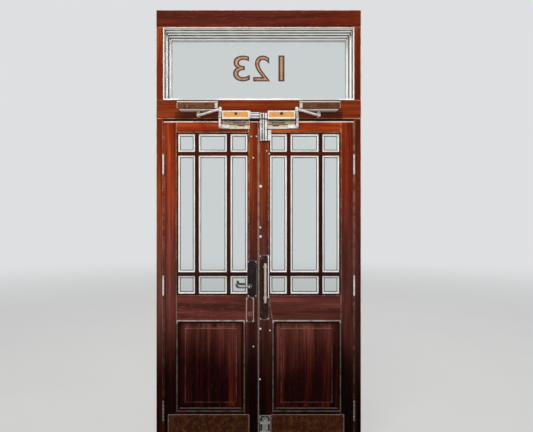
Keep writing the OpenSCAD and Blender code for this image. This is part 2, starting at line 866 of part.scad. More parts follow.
// Planted moulding on each face: a bead that laps over the leaf's frame, a step and an ovolo
module panel_moulding() {
    edge0 = (leaf_t - panel_edge_t) / 2;
    slack = 0.3;
    r = panel_bead_r;
    w = panel_mould_w - 2 * r + panel_lap;
    step_y = 1;
    step_w = 1.5;
    hollow = concat([[-w - r, -bead_foot - r - 1]],
                    quarter_round(-w - r, -bead_foot - r, r, r),
                    [[-w, step_y]],
                    quarter_round(step_w - w, step_y, w - step_w, panel_mould_d - step_y),
                    [[0, edge0 + 1]]);
    for (face = [0, 1])
        translate([0, face * leaf_t, 0])
            mirror([0, face, 0])
                difference() {
                    union() {
                        block([stile_x0, -bead_foot / 2, bottom_rail_z1],
                              [panel_x1, edge0 - slack, lock_rail_z0]);
                        bead_slab();
                    }
                    flared_hollow(stile_x0 + panel_mould_w, panel_x1 - panel_mould_w,
                                  bottom_rail_z1 + panel_mould_w, lock_rail_z0 - panel_mould_w,
                                  hollow);
                }
}

module kick_plate(side, w) {
    z0 = leaf_z0 + kick_up;
    x0 = leaf_x0 + side;
    rounded_plate([x0, -kick_t, z0], [x0 + w, 0, z0 + kick_h], plate_corner_r / 2);
}

// Slot with round ends, cut from front to back
module cut_slot(x0, x1, z, h) {
    r = h / 2;
    block([x0 + r, -bracket_t - 1, z - r], [x1 - r, 1, z + r]);
    for (x = [x0 + r, x1 - r])
        peg(x, 1, z, bracket_t + 2, r);
}

// Bracket of Z section: screwed flange on the leaf, web under the gap, armature in front
module magnet_bracket() {
    x0 = -bracket_out;
    x1 = -bracket_in;
    z0 = leaf_z1 - bracket_low_h;
    z1 = bracket_web_z1;
    flange_y = bracket_y - bracket_t;
    border = 8;
    slot_x1 = x1 - slot_in;
    slot_shift = 6;
    difference() {
        union() {
            block([x0, -bracket_t, z0], [x1, 0, z1]);
            block([x0, flange_y, z1 - bracket_t], [x1, 0, z1]);
            block([x0, flange_y, z1 - bracket_t], [x1, bracket_y, magnet_z1]);
            block([x0 + 4, bracket_y, magnet_z0 + 2], [x1 - 4, armature_y0, magnet_z1 - 2]);
        }
        block([x0 + border, flange_y - 1, z1 + border],
              [x1 - border, flange_y + 1, magnet_z1 - border]);
        cut_slot(slot_x1 - slot_long, slot_x1, z0 + 0.64 * bracket_low_h, slot_h);
        cut_slot(slot_x1 - slot_short - slot_shift, slot_x1 - slot_shift,
                 z0 + 0.32 * bracket_low_h, slot_h);
    }
}

// Foot screwed to the leaf, with an upright stud that the forearm turns on
module closer_shoe() {
    foot_z0 = leaf_z1 - shoe_foot_down;
    foot_z1 = foot_z0 + shoe_foot_h;
    foot_t = 6;
    end_r = shoe_foot_h / 2;
    lug = stud_r + 3;
    foot_x1 = stud[0] + shoe_foot_l;
    union() {
        block([stud[0] - lug, -bracket_t - foot_t, foot_z0],
              [foot_x1 - end_r, -bracket_t, foot_z1]);
        peg(foot_x1 - end_r, -bracket_t, foot_z0 + end_r, foot_t, end_r);
        block([stud[0] - lug, -bracket_t, foot_z0], [-bracket_out - 1, 0, foot_z1]);
        for (x = [stud[0] + shoe_foot_l / 3, foot_x1 - end_r])
            peg(x, -bracket_t, foot_z0 + end_r, foot_t + 4, end_r / 2);
        block([stud[0] - lug, stud[1], foot_z0 + 4],
              [stud[0] + lug, -bracket_t, foot_z1 - 4]);
        translate([stud[0], stud[1], foot_z0 + 4])
            cylinder(h = forearm_z0 + arm_t + 1 - foot_z0 - 4, r = stud_r);
        translate([stud[0], stud[1], foot_z0 + 4])
            cylinder(h = forearm_z0 - 1 - foot_z0 - 4, r = lug);
    }
}

// Lock plate over key plate, with the key cylinder, on the inside face of the leaf
module lock_trim() {
    z1 = lever_axis_z + lock_plate_up;
    key_z1 = z1 - lock_plate_h - trim_t;
    key_z = key_z1 - key_down;
    x1 = leaf_x1 - lock_plate_side;
    keyway_h = cylinder_r * 0.8;
    difference() {
        union() {
            rounded_plate([x1 - lock_plate_w, -trim_t, z1 - lock_plate_h], [x1, 0, z1],
                          plate_corner_r);
            rounded_plate([-lever_x - key_plate_w / 2, -trim_t, key_z1 - key_plate_h],
                          [-lever_x + key_plate_w / 2, 0, key_z1], plate_corner_r);
            peg(-lever_x, 0, key_z, trim_t + 8, cylinder_r);
        }
        peg(-lever_x, 1, lever_axis_z, trim_t + 2, lever_spindle_r + pin_fit);
        block([-lever_x - 1, -trim_t - 9, key_z - keyway_h / 2],
              [-lever_x + 1, -trim_t - 4, key_z + keyway_h / 2]);
    }
}

module lock_plates() {
    color("#5a3a28") {
        lock_trim();
        translate([0, leaf_t, 0])
            mirror([0, 1, 0])
                lock_trim();
    }
}

// Rosette, neck and grip on one side of the leaf, with the grip's end turned up
module lever_side() {
    slack = 0.3;
    curl_x = -lever_l + lever_r + lever_curl_r;
    peg(0, -trim_t - slack, 0, 8, lever_spindle_r + lever_r);
    peg(0, -trim_t - slack, 0, lever_out - trim_t - slack, lever_spindle_r + 2);
    translate([0, -lever_out, 0]) {
        sphere(r = lever_r);
        translate([curl_x, 0, 0])
            rotate([0, 90, 0])
                cylinder(h = -curl_x, r = lever_r);
        translate([curl_x, 0, lever_curl_r])
            rotate([90, 0, 0])
                rotate([0, 0, 180])
                    rotate_extrude(angle = 90)
                        translate([lever_curl_r, 0])
                            circle(r = lever_r);
        translate([curl_x - lever_curl_r, 0, lever_curl_r])
            sphere(r = lever_r);
    }
}

module lever_handle() {
    color("#c9ccd0")
        translate([-lever_x, 0, lever_axis_z])
            union() {
                lever_side();
                translate([0, leaf_t, 0])
                    mirror([0, 1, 0])
                        lever_side();
                peg(0, leaf_t + lever_out, 0, leaf_t + 2 * lever_out, lever_spindle_r);
            }
}

module pull_handle() {
    x0 = meeting_gap / 2 + pull_plate_side;
    z1 = leaf_z0 + pull_plate_up;
    x = x0 + pull_in;
    foot_z1 = z1 - pull_down;
    foot_z0 = foot_z1 - pull_span;
    color("#8a8076")
        union() {
            rounded_plate([x0, -trim_t, z1 - pull_plate_h], [x0 + pull_plate_w, 0, z1],
                          plate_corner_r);
            for (z = [foot_z0, foot_z1]) {
                peg(x, 0, z, pull_out, pull_r * 0.8);
                peg(x, 0, z, trim_t + 4, pull_r + 4);
            }
            translate([x, -pull_out, foot_z0 - pull_over])
                cylinder(h = pull_span + 2 * pull_over, r = pull_r);
            for (z = [foot_z0 - pull_over, foot_z1 + pull_over])
                translate([x, -pull_out, z])
                    sphere(r = pull_r);
        }
}

// Rod in a channel, held by straps, with a thumb piece beside it
module top_bolt() {
    z1 = leaf_z1 - 2;
    z0 = z1 - top_bolt_h;
    rod_x = bolt_x0 + cheek_w + bolt_r + 1;
    strap_h = 12;
    front = -trim_t - cheek_d;
    thumb_z0 = z0 + strap_h;
    color("#c4c7ca")
        union() {
            bolt_channel(bolt_x0, top_bolt_w, z0, z1);
            translate([rod_x, -trim_t - bolt_r + 1, z0 + 1])
                cylinder(h = top_bolt_h - 1, r = bolt_r);
            for (z = [z0, z0 + top_bolt_h / 2, z1 - 2 * strap_h])
                block([bolt_x0 + 1, front + 1, z],
                      [bolt_x0 + 2 * cheek_w + 2 * bolt_r + 1, front + 3, z + strap_h]);
            block([rod_x, front, z0], [top_bolt_x1 + thumb_w + 4, front + 5, z0 + strap_h]);
            block([top_bolt_x1 + 4, front, z0], [top_bolt_x1 + thumb_w + 4, front + 5,
                                                 thumb_z0 + 2.5 * thumb_w]);
        }
}

// Heavier bolt with its rod in the middle and a round knob near the top
module bottom_bolt() {
    z0 = leaf_z0 + 6;
    z1 = z0 + bottom_bolt_h;
    x0 = bolt_x0 - 1.5;
    x1 = x0 + bottom_bolt_w;
    rod_x = (x0 + x1) / 2;
    rod_r = bolt_r + 3;
    strap_h = 16;
    strap_side = 4;
    strap_t = 6;
    knob_r = rod_r - 1;
    cheek_y = -trim_t - cheek_d;
    color("#c4c7ca")
        union() {
            block([x0, -trim_t, z0], [x1, 0, z1]);
            for (side = [-1, 1])
                block([rod_x + side * (rod_r + 1 + cheek_w / 2) - cheek_w / 2, cheek_y, z0],
                      [rod_x + side * (rod_r + 1 + cheek_w / 2) + cheek_w / 2, -trim_t + EPS,
                       z1 - strap_h]);
            translate([rod_x, -trim_t - rod_r + 1, z0])
                cylinder(h = bottom_bolt_h - strap_h / 2, r = rod_r);
            for (z = [z0 + strap_side, z0 + bottom_bolt_h / 2, z1 - 3 * strap_h])
                block([x0 + strap_side, cheek_y - strap_t, z],
                      [x1 - strap_side, cheek_y + 1, z + strap_h]);
            peg(rod_x, -trim_t - rod_r, z1 - strap_h - strap_side, bolt_knob_l, knob_r);
        }
}

// Tapered arm between two centres, with a round end at each
module arm(from, to, z0, r0, r1, bore) {
    l = norm(to - from);
    translate([from[0], from[1], z0])
        rotate([0, 0, atan2(to[1] - from[1], to[0] - from[0])])
            difference() {
                union() {
                    cylinder(h = arm_t, r = r0);
                    linear_extrude(arm_t)
                        polygon([[0, -0.8 * r0], [l, -0.8 * r1], [l, 0.8 * r1], [0, 0.8 * r0]]);
                    translate([l, 0, 0])
                        cylinder(h = arm_t, r = r1);
                    children();
                }
                translate([0, 0, -1])
                    cylinder(h = arm_t + 2, r = bore);
            }
}

module main_arm() {
    knob_h = 6;
    arm(spindle, elbow, main_arm_z0, spindle_r + 7, arm_w / 2, spindle_r + pin_fit)
        translate([main_arm_l, 0, arm_t - 1])
            cylinder(h = knob_h + 1, r = elbow_r);
}

// The adjusting holes run along the arm towards the elbow
module forearm() {
    pitch = 3 * forearm_hole_r * 2;
    first = forearm_l - 20 - (forearm_holes - 1) * pitch;
    along = atan2(elbow[1] - stud[1], elbow[0] - stud[0]);
    difference() {
        arm(stud, elbow, forearm_z0, arm_w / 2 + 1, arm_w / 2 + 1, stud_r + pin_fit);
        translate([stud[0], stud[1], forearm_z0 - 1])
            rotate([0, 0, along])
                for (k = [0:forearm_holes - 1])
                    translate([first + k * pitch, 0, 0])
                        cylinder(h = arm_t + 2, r = forearm_hole_r);
    }
}

module left_hinge_stile() {
    color("#7c2b14")
        hinge_stile();
}

module left_meeting_stile() {
    color("#7c2b14")
        difference() {
            meeting_stile();
            peg(-lever_x, leaf_t + 1, lever_axis_z, leaf_t + 2, lever_spindle_r + pin_fit);
        }
}

module left_top_rail() {
    color("#8a3216")
        top_rail();
}

module left_lock_rail() {
    color("#6a2414")
        lock_rail();
}

module left_bottom_rail() {
    color("#4d1a10")
        bottom_rail();
}

module left_glazing_bars() {
    color("#7c2b14")
        glazing_bars();
}

module left_glass() {
    color("#cfe0e2", 0.35)
        glass();
}

module left_panel() {
    color("#551a10")
        panel();
}

module left_panel_moulding() {
    color("#5e1f12")
        panel_moulding();
}

module left_kick_plate() {
    color("#6b4426")
        kick_plate(left_kick_side, left_kick_w);
}

module left_leaf_hinges() {
    color("#b9bcc0")
        leaf_hinges();
}

module left_magnet_bracket() {
    color("#c98a3c")
        magnet_bracket();
}

module left_closer_shoe() {
    color("#4a3626")
        closer_shoe();
}

module right_hinge_stile() {
    color("#7c2b14")
        to_right()
            hinge_stile();
}

module right_meeting_stile() {
    color("#7c2b14")
        to_right()
            meeting_stile();
}

module right_top_rail() {
    color("#8a3216")
        to_right()
            top_rail();
}

module right_lock_rail() {
    color("#6a2414")
        to_right()
            lock_rail();
}

module right_bottom_rail() {
    color("#4d1a10")
        to_right()
            bottom_rail();
}

module right_glazing_bars() {
    color("#7c2b14")
        to_right()
            glazing_bars();
}

module right_glass() {
    color("#cfe0e2", 0.35)
        to_right()
            glass();
}

module right_panel() {
    color("#551a10")
        to_right()
            panel();
}

module right_panel_moulding() {
    color("#5e1f12")
        to_right()
            panel_moulding();
}

module right_kick_plate() {
    color("#6b4426")
        to_right()
            kick_plate(right_kick_side, right_kick_w);
}

module right_leaf_hinges() {
    color("#b9bcc0")
        to_right()
            leaf_hinges();
}

module right_magnet_bracket() {
    color("#c98a3c")
        to_right()
            magnet_bracket();
}

module right_closer_shoe() {
    color("#4a3626")
        to_right()
            closer_shoe();
}

module left_main_arm() {
    color("#8a6a4a")
        main_arm();
}

module left_forearm() {
    color("#8a6a4a")
        forearm();
}

module right_main_arm() {
    color("#8a6a4a")
        to_right()
            main_arm();
}

module right_forearm() {
    color("#8a6a4a")
        to_right()
            forearm();
}

left_jamb();
right_jamb();
head_rail();
transom_bar();
threshold();
transom_lining();
transom_beads();
transom_glass();
left_frame_hinges();
right_frame_hinges();
left_closer();
right_closer();
magnet_housing();
bolt_keepers();
left_hinge_stile();
left_meeting_stile();
left_top_rail();
left_lock_rail();
left_bottom_rail();
left_glazing_bars();
left_glass();
left_panel();
left_panel_moulding();
left_kick_plate();
left_leaf_hinges();
left_magnet_bracket();
left_closer_shoe();
lock_plates();
lever_handle();
right_hinge_stile();
right_meeting_stile();
right_top_rail();
right_lock_rail();
right_bottom_rail();
right_glazing_bars();
right_glass();
right_panel();
right_panel_moulding();
right_kick_plate();
right_leaf_hinges();
right_magnet_bracket();
right_closer_shoe();
pull_handle();
top_bolt();
bottom_bolt();
left_main_arm();
left_forearm();
right_main_arm();
right_forearm();
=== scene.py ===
import bpy
import bmesh
import math
from mathutils import Matrix, Vector


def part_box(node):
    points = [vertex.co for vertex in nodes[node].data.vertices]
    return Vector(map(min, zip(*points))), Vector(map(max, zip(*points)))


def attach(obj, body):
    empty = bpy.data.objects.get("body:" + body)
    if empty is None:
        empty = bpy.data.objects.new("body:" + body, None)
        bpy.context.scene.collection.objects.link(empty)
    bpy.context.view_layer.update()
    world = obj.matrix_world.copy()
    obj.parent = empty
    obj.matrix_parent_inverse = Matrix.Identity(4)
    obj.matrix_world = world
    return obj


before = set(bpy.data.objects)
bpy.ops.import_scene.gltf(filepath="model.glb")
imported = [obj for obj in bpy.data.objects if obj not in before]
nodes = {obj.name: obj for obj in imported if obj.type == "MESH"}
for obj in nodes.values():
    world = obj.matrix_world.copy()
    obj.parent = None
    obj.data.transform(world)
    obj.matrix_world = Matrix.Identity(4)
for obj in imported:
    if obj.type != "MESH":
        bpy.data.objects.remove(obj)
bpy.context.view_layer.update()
print("frame loaded,", len(nodes), "nodes")


# Camera: level, in the room, on the photograph's own view line
cameraSetup = {
    "place": (0.015, -2.95, 1.508),
    "sensor": 36.0,
    "pixelsPerMetre": 155.0,  # at the inside face of the leaves
    "imageWidth": 533.0,
    "imageHeight": 432.0,
    "viewLineX": 261.0,
    "viewLineY": 219.5,
}


def makeCamera(setup):
    data = bpy.data.cameras.new("doorCamera")
    data.sensor_width = setup["sensor"]
    focalPixels = setup["pixelsPerMetre"] * -setup["place"][1]
    data.lens = focalPixels * setup["sensor"] / setup["imageWidth"]
    data.shift_x = (setup["imageWidth"] / 2 - setup["viewLineX"]) / setup["imageWidth"]
    data.shift_y = (setup["viewLineY"] - setup["imageHeight"] / 2) / setup["imageWidth"]
    camera = bpy.data.objects.new("doorCamera", data)
    camera.location = setup["place"]
    camera.rotation_euler = (math.radians(90), 0, 0)
    bpy.context.scene.collection.objects.link(camera)
    bpy.context.scene.camera = camera


makeCamera(cameraSetup)


# Short ways to add a node and feed it
def feed(tree, node, feeds):
    for key, value in feeds.items():
        if isinstance(value, bpy.types.NodeSocket):
            tree.links.new(value, node.inputs[key])
        else:
            node.inputs[key].default_value = value


def addNode(tree, kind, feeds=None, **settings):
    node = tree.nodes.new("ShaderNode" + kind)
    for key, value in settings.items():
        setattr(node, key, value)
    feed(tree, node, feeds or {})
    return node


def useGroup(tree, group, feeds):
    return addNode(tree, "Group", feeds, node_tree=group).outputs


def calc(tree, operation, a, b=0.0, clamp=False):
    return addNode(tree, "Math", {0: a, 1: b}, operation=operation, use_clamp=clamp).outputs[0]


def times(tree, a, b, clamp=False):
    return calc(tree, "MULTIPLY", a, b, clamp)


def plus(tree, a, b, clamp=False):
    return calc(tree, "ADD", a, b, clamp)


def remap(tree, value, low, high, outLow=0.0, outHigh=1.0):
    return addNode(tree, "MapRange", {"Value": value, "From Min": low, "From Max": high,
                                      "To Min": outLow, "To Max": outHigh},
                   interpolation_type="SMOOTHSTEP").outputs["Result"]


def blend(tree, amount, a, b):
    return addNode(tree, "Mix", {0: amount, 6: a, 7: b}, data_type="RGBA").outputs[2]


def axisOf(tree, vector, axis):
    return addNode(tree, "SeparateXYZ", {"Vector": vector}).outputs[axis]


def stretch(tree, vector, scale):
    return addNode(tree, "VectorMath", {0: vector, 1: scale}, operation="MULTIPLY").outputs[0]


def noise(tree, vector, scale=1.0, detail=3.0, roughness=0.5, distortion=0.0):
    feeds = {"Vector": vector, "Scale": scale, "Detail": detail, "Roughness": roughness,
             "Distortion": distortion}
    return addNode(tree, "TexNoise", feeds).outputs["Fac"]


# Cloudy patches: the noise at two limits gives 0 and 1, or the two values after them
def patchesOf(tree, vector, scale, limits, detail=5.0, roughness=0.5):
    return remap(tree, noise(tree, vector, scale, detail, roughness), *limits)


# 1 between two values, with a soft edge
def band(tree, value, low, high, soft):
    return times(tree, remap(tree, value, low - soft, low),
                 remap(tree, value, high + soft, high))


def rgba(colour, level=1.0):
    return (colour[0] * level, colour[1] * level, colour[2] * level, 1.0)


# A group's inputs come with their defaults: none for a vector, a tuple for a colour
socketKinds = {type(None): "NodeSocketVector", tuple: "NodeSocketColor", float: "NodeSocketFloat"}


def newGroup(name, inputs, outputs):
    group = bpy.data.node_groups.new(name, "ShaderNodeTree")
    for socketName, value in inputs.items():
        socket = group.interface.new_socket(socketName, in_out="INPUT",
                                            socket_type=socketKinds[type(value)])
        if value is not None:
            socket.default_value = value
    for socketName in outputs:
        kind = socketKinds[tuple if socketName == "Color" else float]
        group.interface.new_socket(socketName, in_out="OUTPUT", socket_type=kind)
    given = group.nodes.new("NodeGroupInput").outputs
    return group, given, group.nodes.new("NodeGroupOutput").inputs


# Mahogany figure: the grain runs along X of the vector that comes in
figureForm = {
    "noises": {"broad": ((0.9, 22.0, 22.0), {"detail": 4.0, "distortion": 0.6}),
               "ribbon": ((2.4, 75.0, 75.0), {"distortion": 0.3}),
               "pores": ((9.0, 420.0, 420.0), {"detail": 2.0, "roughness": 0.7}),
               "fleck": ((22.0, 150.0, 150.0), {"detail": 2.0, "roughness": 0.6})},
    "rings": (0.35, 9.0, 9.0),
    "ringFeeds": {"Scale": 1.0, "Distortion": 5.0, "Detail": 3.0, "Detail Scale": 1.4},
    "shares": {"broad": 0.55, "ribbon": 0.3, "rings": 0.15},
    "darkFrom": (0.51, 0.35), "lightFrom": (0.48, 0.64),
    "fleckFrom": (0.56, 0.72), "poreFrom": (0.52, 0.70),
    "poreShare": 0.5, "poreRough": 0.15, "ribbonRough": 0.2, "ribbonHeight": 0.4,
}


def makeWoodGroup():
    group, given, out = newGroup(
        "mahoganyFigure",
        {"Vector": None, "Dark": (0.1, 0.02, 0.01, 1), "Middle": (0.3, 0.05, 0.02, 1),
         "Light": (0.5, 0.1, 0.04, 1), "Streaks": 0.8, "Flecks": 0.4},
        ("Color", "Roughness", "Height"))
    look = figureForm
    parts = {name: noise(group, stretch(group, given["Vector"], scale), **kind)
             for name, (scale, kind) in look["noises"].items()}
    ringFeeds = {"Vector": stretch(group, given["Vector"], look["rings"]), **look["ringFeeds"]}
    parts["rings"] = addNode(group, "TexWave", ringFeeds, wave_type="BANDS",
                             bands_direction="Y").outputs["Fac"]
    broad, ribbon, rings = (times(group, parts[name], share)
                            for name, share in look["shares"].items())
    figure = plus(group, broad, plus(group, ribbon, rings))
    darkPart = times(group, remap(group, figure, *look["darkFrom"]), given["Streaks"])
    lightPart = remap(group, figure, *look["lightFrom"])
    fleckPart = times(group, remap(group, parts["fleck"], *look["fleckFrom"]),
                      given["Flecks"])
    pores = remap(group, parts["pores"], *look["poreFrom"])
    colour = blend(group, darkPart, given["Middle"], given["Dark"])
    colour = blend(group, calc(group, "MAXIMUM", lightPart, fleckPart), colour, given["Light"])
    colour = blend(group, times(group, pores, look["poreShare"]), colour, given["Dark"])
    group.links.new(colour, out["Color"])
    rough = plus(group, times(group, pores, look["poreRough"]),
                 times(group, parts["ribbon"], look["ribbonRough"]))
    group.links.new(rough, out["Roughness"])
    raised = times(group, parts["ribbon"], look["ribbonHeight"])
    group.links.new(calc(group, "SUBTRACT", raised, pores), out["Height"])
    return group


# Three colours over the height of the door, from its foot to its top, with a cloudy edge
heightForm = {
    "cloud": (2.5, 2.5, 1.2),
    "cloudFrom": (0.3, 0.7),
    "stray": 0.12,
    "footToWaist": (0.42, 1.0),
    "waistToTop": (0.98, 1.95),
}


def makeHeightGroup():
    group, given, out = newGroup(
        "darkerBelow",
        {"Vector": None, "Foot": (0, 0, 0, 1), "Waist": (0.1, 0.1, 0.1, 1),
         "Top": (0.3, 0.3, 0.3, 1)}, ("Color",))
    look = heightForm
    cloud = noise(group, stretch(group, given["Vector"], look["cloud"]))
    stray = remap(group, cloud, *look["cloudFrom"], -look["stray"], look["stray"])
    height = plus(group, axisOf(group, given["Vector"], "Z"), stray)
    lower = blend(group, remap(group, height, *look["footToWaist"]), given["Foot"], given["Waist"])
    colour = blend(group, remap(group, height, *look["waistToTop"]), lower, given["Top"])
    group.links.new(colour, out["Color"])
    return group


# Rubbed arrises, and painted highlights along them: where the rounded normal turns away from the
# true one
wearAndHighlightForm = {"samples": 6, "turnFrom": (0.996, 0.93), "patchFrom": (0.34, 0.58)}


def makeWearAndHighlightGroup():
    group, given, out = newGroup(
        "rubbedEdgeAndHighlight",
        {"Vector": None, "Width": 0.003, "Amount": 1.0, "Patches": 30.0, "Evenness": 0.0},
        ("Mask",))
    rounded = addNode(group, "Bevel", {"Radius": given["Width"]},
                      samples=wearAndHighlightForm["samples"])
    trueNormal = addNode(group, "NewGeometry").outputs["Normal"]
    turn = addNode(group, "VectorMath", {0: rounded.outputs["Normal"], 1: trueNormal},
                   operation="DOT_PRODUCT").outputs["Value"]
    edge = remap(group, turn, *wearAndHighlightForm["turnFrom"])
    broken = patchesOf(group, given["Vector"], given["Patches"], wearAndHighlightForm["patchFrom"], 4.0, 0.6)
    kept = times(group, edge, calc(group, "MAXIMUM", broken, given["Evenness"]))
    group.links.new(times(group, kept, given["Amount"], clamp=True), out["Mask"])
    return group


# Dirt that settles in corners, quirks and joints, and painted shade there
grimeAndShadeForm = {"samples": 8, "openFrom": (0.88, 0.40), "patchFrom": (0.25, 0.55, 0.6, 1.0)}


def makeGrimeAndShadeGroup():
    group, given, out = newGroup(
        "cornerGrimeAndShade", {"Vector": None, "Reach": 0.012, "Amount": 0.8, "Patches": 22.0},
        ("Mask",))
    opened = addNode(group, "AmbientOcclusion", {"Distance": given["Reach"]},
                     samples=grimeAndShadeForm["samples"]).outputs["AO"]
    broken = patchesOf(group, given["Vector"], given["Patches"], grimeAndShadeForm["patchFrom"], 4.0, 0.6)
    kept = times(group, remap(group, opened, *grimeAndShadeForm["openFrom"]), broken)
    group.links.new(times(group, kept, given["Amount"], clamp=True), out["Mask"])
    return group


# Pale dust, and painted sheen, on whatever faces up
dustAndSheenForm = {"upFrom": (0.5, 0.95), "scale": 60.0, "patchFrom": (0.3, 0.7, 0.4, 1.0)}


def makeDustAndSheenGroup():
    group, given, out = newGroup("dustAndTopSheen", {"Vector": None, "Amount": 0.5}, ("Mask",))
    normal = addNode(group, "NewGeometry").outputs["Normal"]
    up = remap(group, axisOf(group, normal, "Z"), *dustAndSheenForm["upFrom"])
    kept = times(group, up, patchesOf(group, given["Vector"], dustAndSheenForm["scale"],
                                      dustAndSheenForm["patchFrom"]))
    group.links.new(times(group, kept, given["Amount"], clamp=True), out["Mask"])
    return group


# Fine lines of a brushed metal, scratches across them and cloudy stains
brushForm = {"lines": (0.02, 1.0, 1.0), "scratches": (260.0, 14.0, 40.0),
             "scratchFrom": (0.66, 0.72), "stainScale": 26.0}


def makeBrushGroup():
    group, given, out = newGroup(
        "brushedLines", {"Vector": None, "Fineness": 700.0, "Scratches": 0.4},
        ("Lines", "Scratch", "Stain"))
    look = brushForm
    lines = noise(group, stretch(group, given["Vector"], look["lines"]), scale=given["Fineness"],
                  detail=2.0, roughness=0.7)
    crossed = noise(group, stretch(group, given["Vector"], look["scratches"]), detail=2.0,
                    distortion=1.5)
    stain = noise(group, given["Vector"], scale=look["stainScale"], detail=5.0, roughness=0.65)
    group.links.new(lines, out["Lines"])
    scratch = remap(group, crossed, *look["scratchFrom"])
    group.links.new(times(group, scratch, given["Scratches"]), out["Scratch"])
    group.links.new(stain, out["Stain"])
    return group


woodFigure = makeWoodGroup()
darkerBelow = makeHeightGroup()
rubbedEdgeAndHighlight = makeWearAndHighlightGroup()
cornerGrimeAndShade = makeGrimeAndShadeGroup()
dustAndTopSheen = makeDustAndSheenGroup()
brushedLines = makeBrushGroup()


def newMaterial(name, **constants):
    material = bpy.data.materials.new(name)
    material.use_nodes = True
    tree = material.node_tree
    shader = tree.nodes["Principled BSDF"]
    feed(tree, shader, constants)
    return material, tree, shader, addNode(tree, "TexCoord").outputs["Object"]


def maskOf(tree, group, place, feeds):
    return useGroup(tree, group, {"Vector": place, **feeds})["Mask"]


def feedBump(tree, shader, height, distance, strength=1.0):
    node = addNode(tree, "Bump", {"Height": height, "Distance": distance, "Strength": strength})
    tree.links.new(node.outputs["Normal"], shader.inputs["Normal"])


grainTurns = {"x": (0, 0, 0), "z": (0, math.radians(90), 0)}


# Timber: orange-brown mahogany under varnish at the top, nearly black at the foot
timber = {
    "dark": ((0.0018, 0.0002, 0.0002), (0.040, 0.0095, 0.0072), (0.070, 0.0055, 0.0010)),
    "middle": ((0.0080, 0.0006, 0.0006), (0.126, 0.030, 0.022), (0.225, 0.022, 0.0022)),
    "light": ((0.052, 0.006, 0.002), (0.24, 0.075, 0.056), (0.42, 0.068, 0.010)),
    # worn: rubbed arrises, paler towards the top: wear and painted highlight
    "wornAndHighlit": ((0.20, 0.12, 0.10), (0.52, 0.34, 0.27), (0.80, 0.47, 0.27)),
    "wearAndHighlight": {"Width": 0.0065, "Patches": 16.0, "Evenness": 0.35},
    "corners": {"Reach": 0.014, "Amount": 0.95},
    # grime: the dark colour of dirt and of painted shade in corners, grooves and along the head
    "grimeAndShade": (0.004, 0.0012, 0.001),
    # dust: pale dust and painted sheen on faces that look up
    "dustAndSheen": (0.42, 0.34, 0.30),
    "roughFrom": 0.2,
    "grimeRough": 0.4,
    "gloss": (0.6, 2.0, 0.0, 0.15),
    # bead: painted highlight on the moulding's crest, painted shade in its grooves
    "bead": {"crest": (0.0045, 0.0115), "quirk": (0.0150, 0.0225), "groove": (-0.001, 0.0025),
             "pale": (0.80, 0.66, 0.60), "topShare": 0.55, "sideShare": 0.12,
             "topFrom": (0.8395, 0.8405), "soft": 0.0015, "grooveSoft": 0.001,
             "grooveShare": 0.9, "scale": 22.0, "broken": (0.34, 0.56, 0.4, 1.0)},
    # oil: painted shadow under the closers, shown as oil
    "oilAndShadow": {"side": (0.20, 0.53), "height": (2.10, 2.199), "sideSoft": 0.02, "heightSoft": 0.004,
            "amount": 0.6, "scale": 9.0, "broken": (0.35, 0.6, 0.7, 1.0)},
    # head: a band of painted shadow and a painted highlight along the leaf's top
    "head": {"strip": (2.1425, 2.154), "arris": (2.1350, 2.1410), "pale": (0.88, 0.66, 0.55),
             "stripSoft": 0.001, "arrisSoft": 0.0012, "scale": 14.0,
             "broken": (0.34, 0.56, 0.35, 0.9)},
}


# Glazier's work round each pane: inside, a white putty line that paints a highlight along the
# pane's rim and a black sealant line of painted shadow beside it; a putty wedge outside
putty = {
    "columns": ((-0.5205, -0.4135), (-0.3875, -0.2075), (-0.1815, -0.0745)),
    "rows": ((1.028, 1.141), (1.167, 1.921), (1.947, 2.060)),
    "insideY": 0.020,
    "outsideY": 0.024,
    "slope": 0.8,
    "line": {"start": 0.0, "width": 0.0090, "proud": 0.0050, "finish": "puttyAndRimHighlight"},
    "seal": {"start": 0.0088, "width": 0.0055, "proud": 0.0010, "finish": "sealantAndShadowLine"},
    "wedge": {"start": 0.0, "width": 0.008, "proud": 0.009, "finish": "puttyAndRimHighlight"},
}


# How far in from the left or right edge of a node's box (side) and from its top or foot (end)
def edgeDistances(tree, place, nodeName):
    low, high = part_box(nodeName)
    distances = []
    for axis, name in ((0, "X"), (2, "Z")):
        away = calc(tree, "ABSOLUTE", calc(tree, "SUBTRACT", axisOf(tree, place, name),
                                           (low[axis] + high[axis]) / 2))
        distances.append(calc(tree, "SUBTRACT", (high[axis] - low[axis]) / 2, away))
    return distances


# 1 where a member stands upright, so that the grain turns at a mitre or between the panes
def uprightMask(tree, place, nodeName, along):
    if along == "bars":
        z = axisOf(tree, place, "Z")
        rows = [band(tree, z, z0, z1, 0.0002) for z0, z1 in putty["rows"]]
        return plus(tree, plus(tree, rows[0], rows[1]), rows[2])
    side, end = edgeDistances(tree, place, nodeName)
    return calc(tree, "LESS_THAN", side, end)


# The panel moulding's bead: a painted highlight along its crest, stronger along the top, and
# painted shade in the grooves beside it
def beadHighlightAndShadow(tree, place, nodeName, colour):
    look = timber["bead"]
    side, end = edgeDistances(tree, place, nodeName)
    inward = calc(tree, "MINIMUM", side, end)
    share = remap(tree, axisOf(tree, place, "Z"), *look["topFrom"], look["sideShare"],
                  look["topShare"])
    broken = patchesOf(tree, place, look["scale"], look["broken"])
    crest = times(tree, band(tree, inward, *look["crest"], look["soft"]), share)
    grooves = plus(tree, band(tree, inward, *look["quirk"], look["soft"]),
                   band(tree, inward, *look["groove"], look["grooveSoft"]))
    colour = blend(tree, times(tree, grooves, look["grooveShare"]), colour,
                   rgba(timber["grimeAndShade"]))
    return blend(tree, times(tree, crest, broken), colour, rgba(look["pale"]))


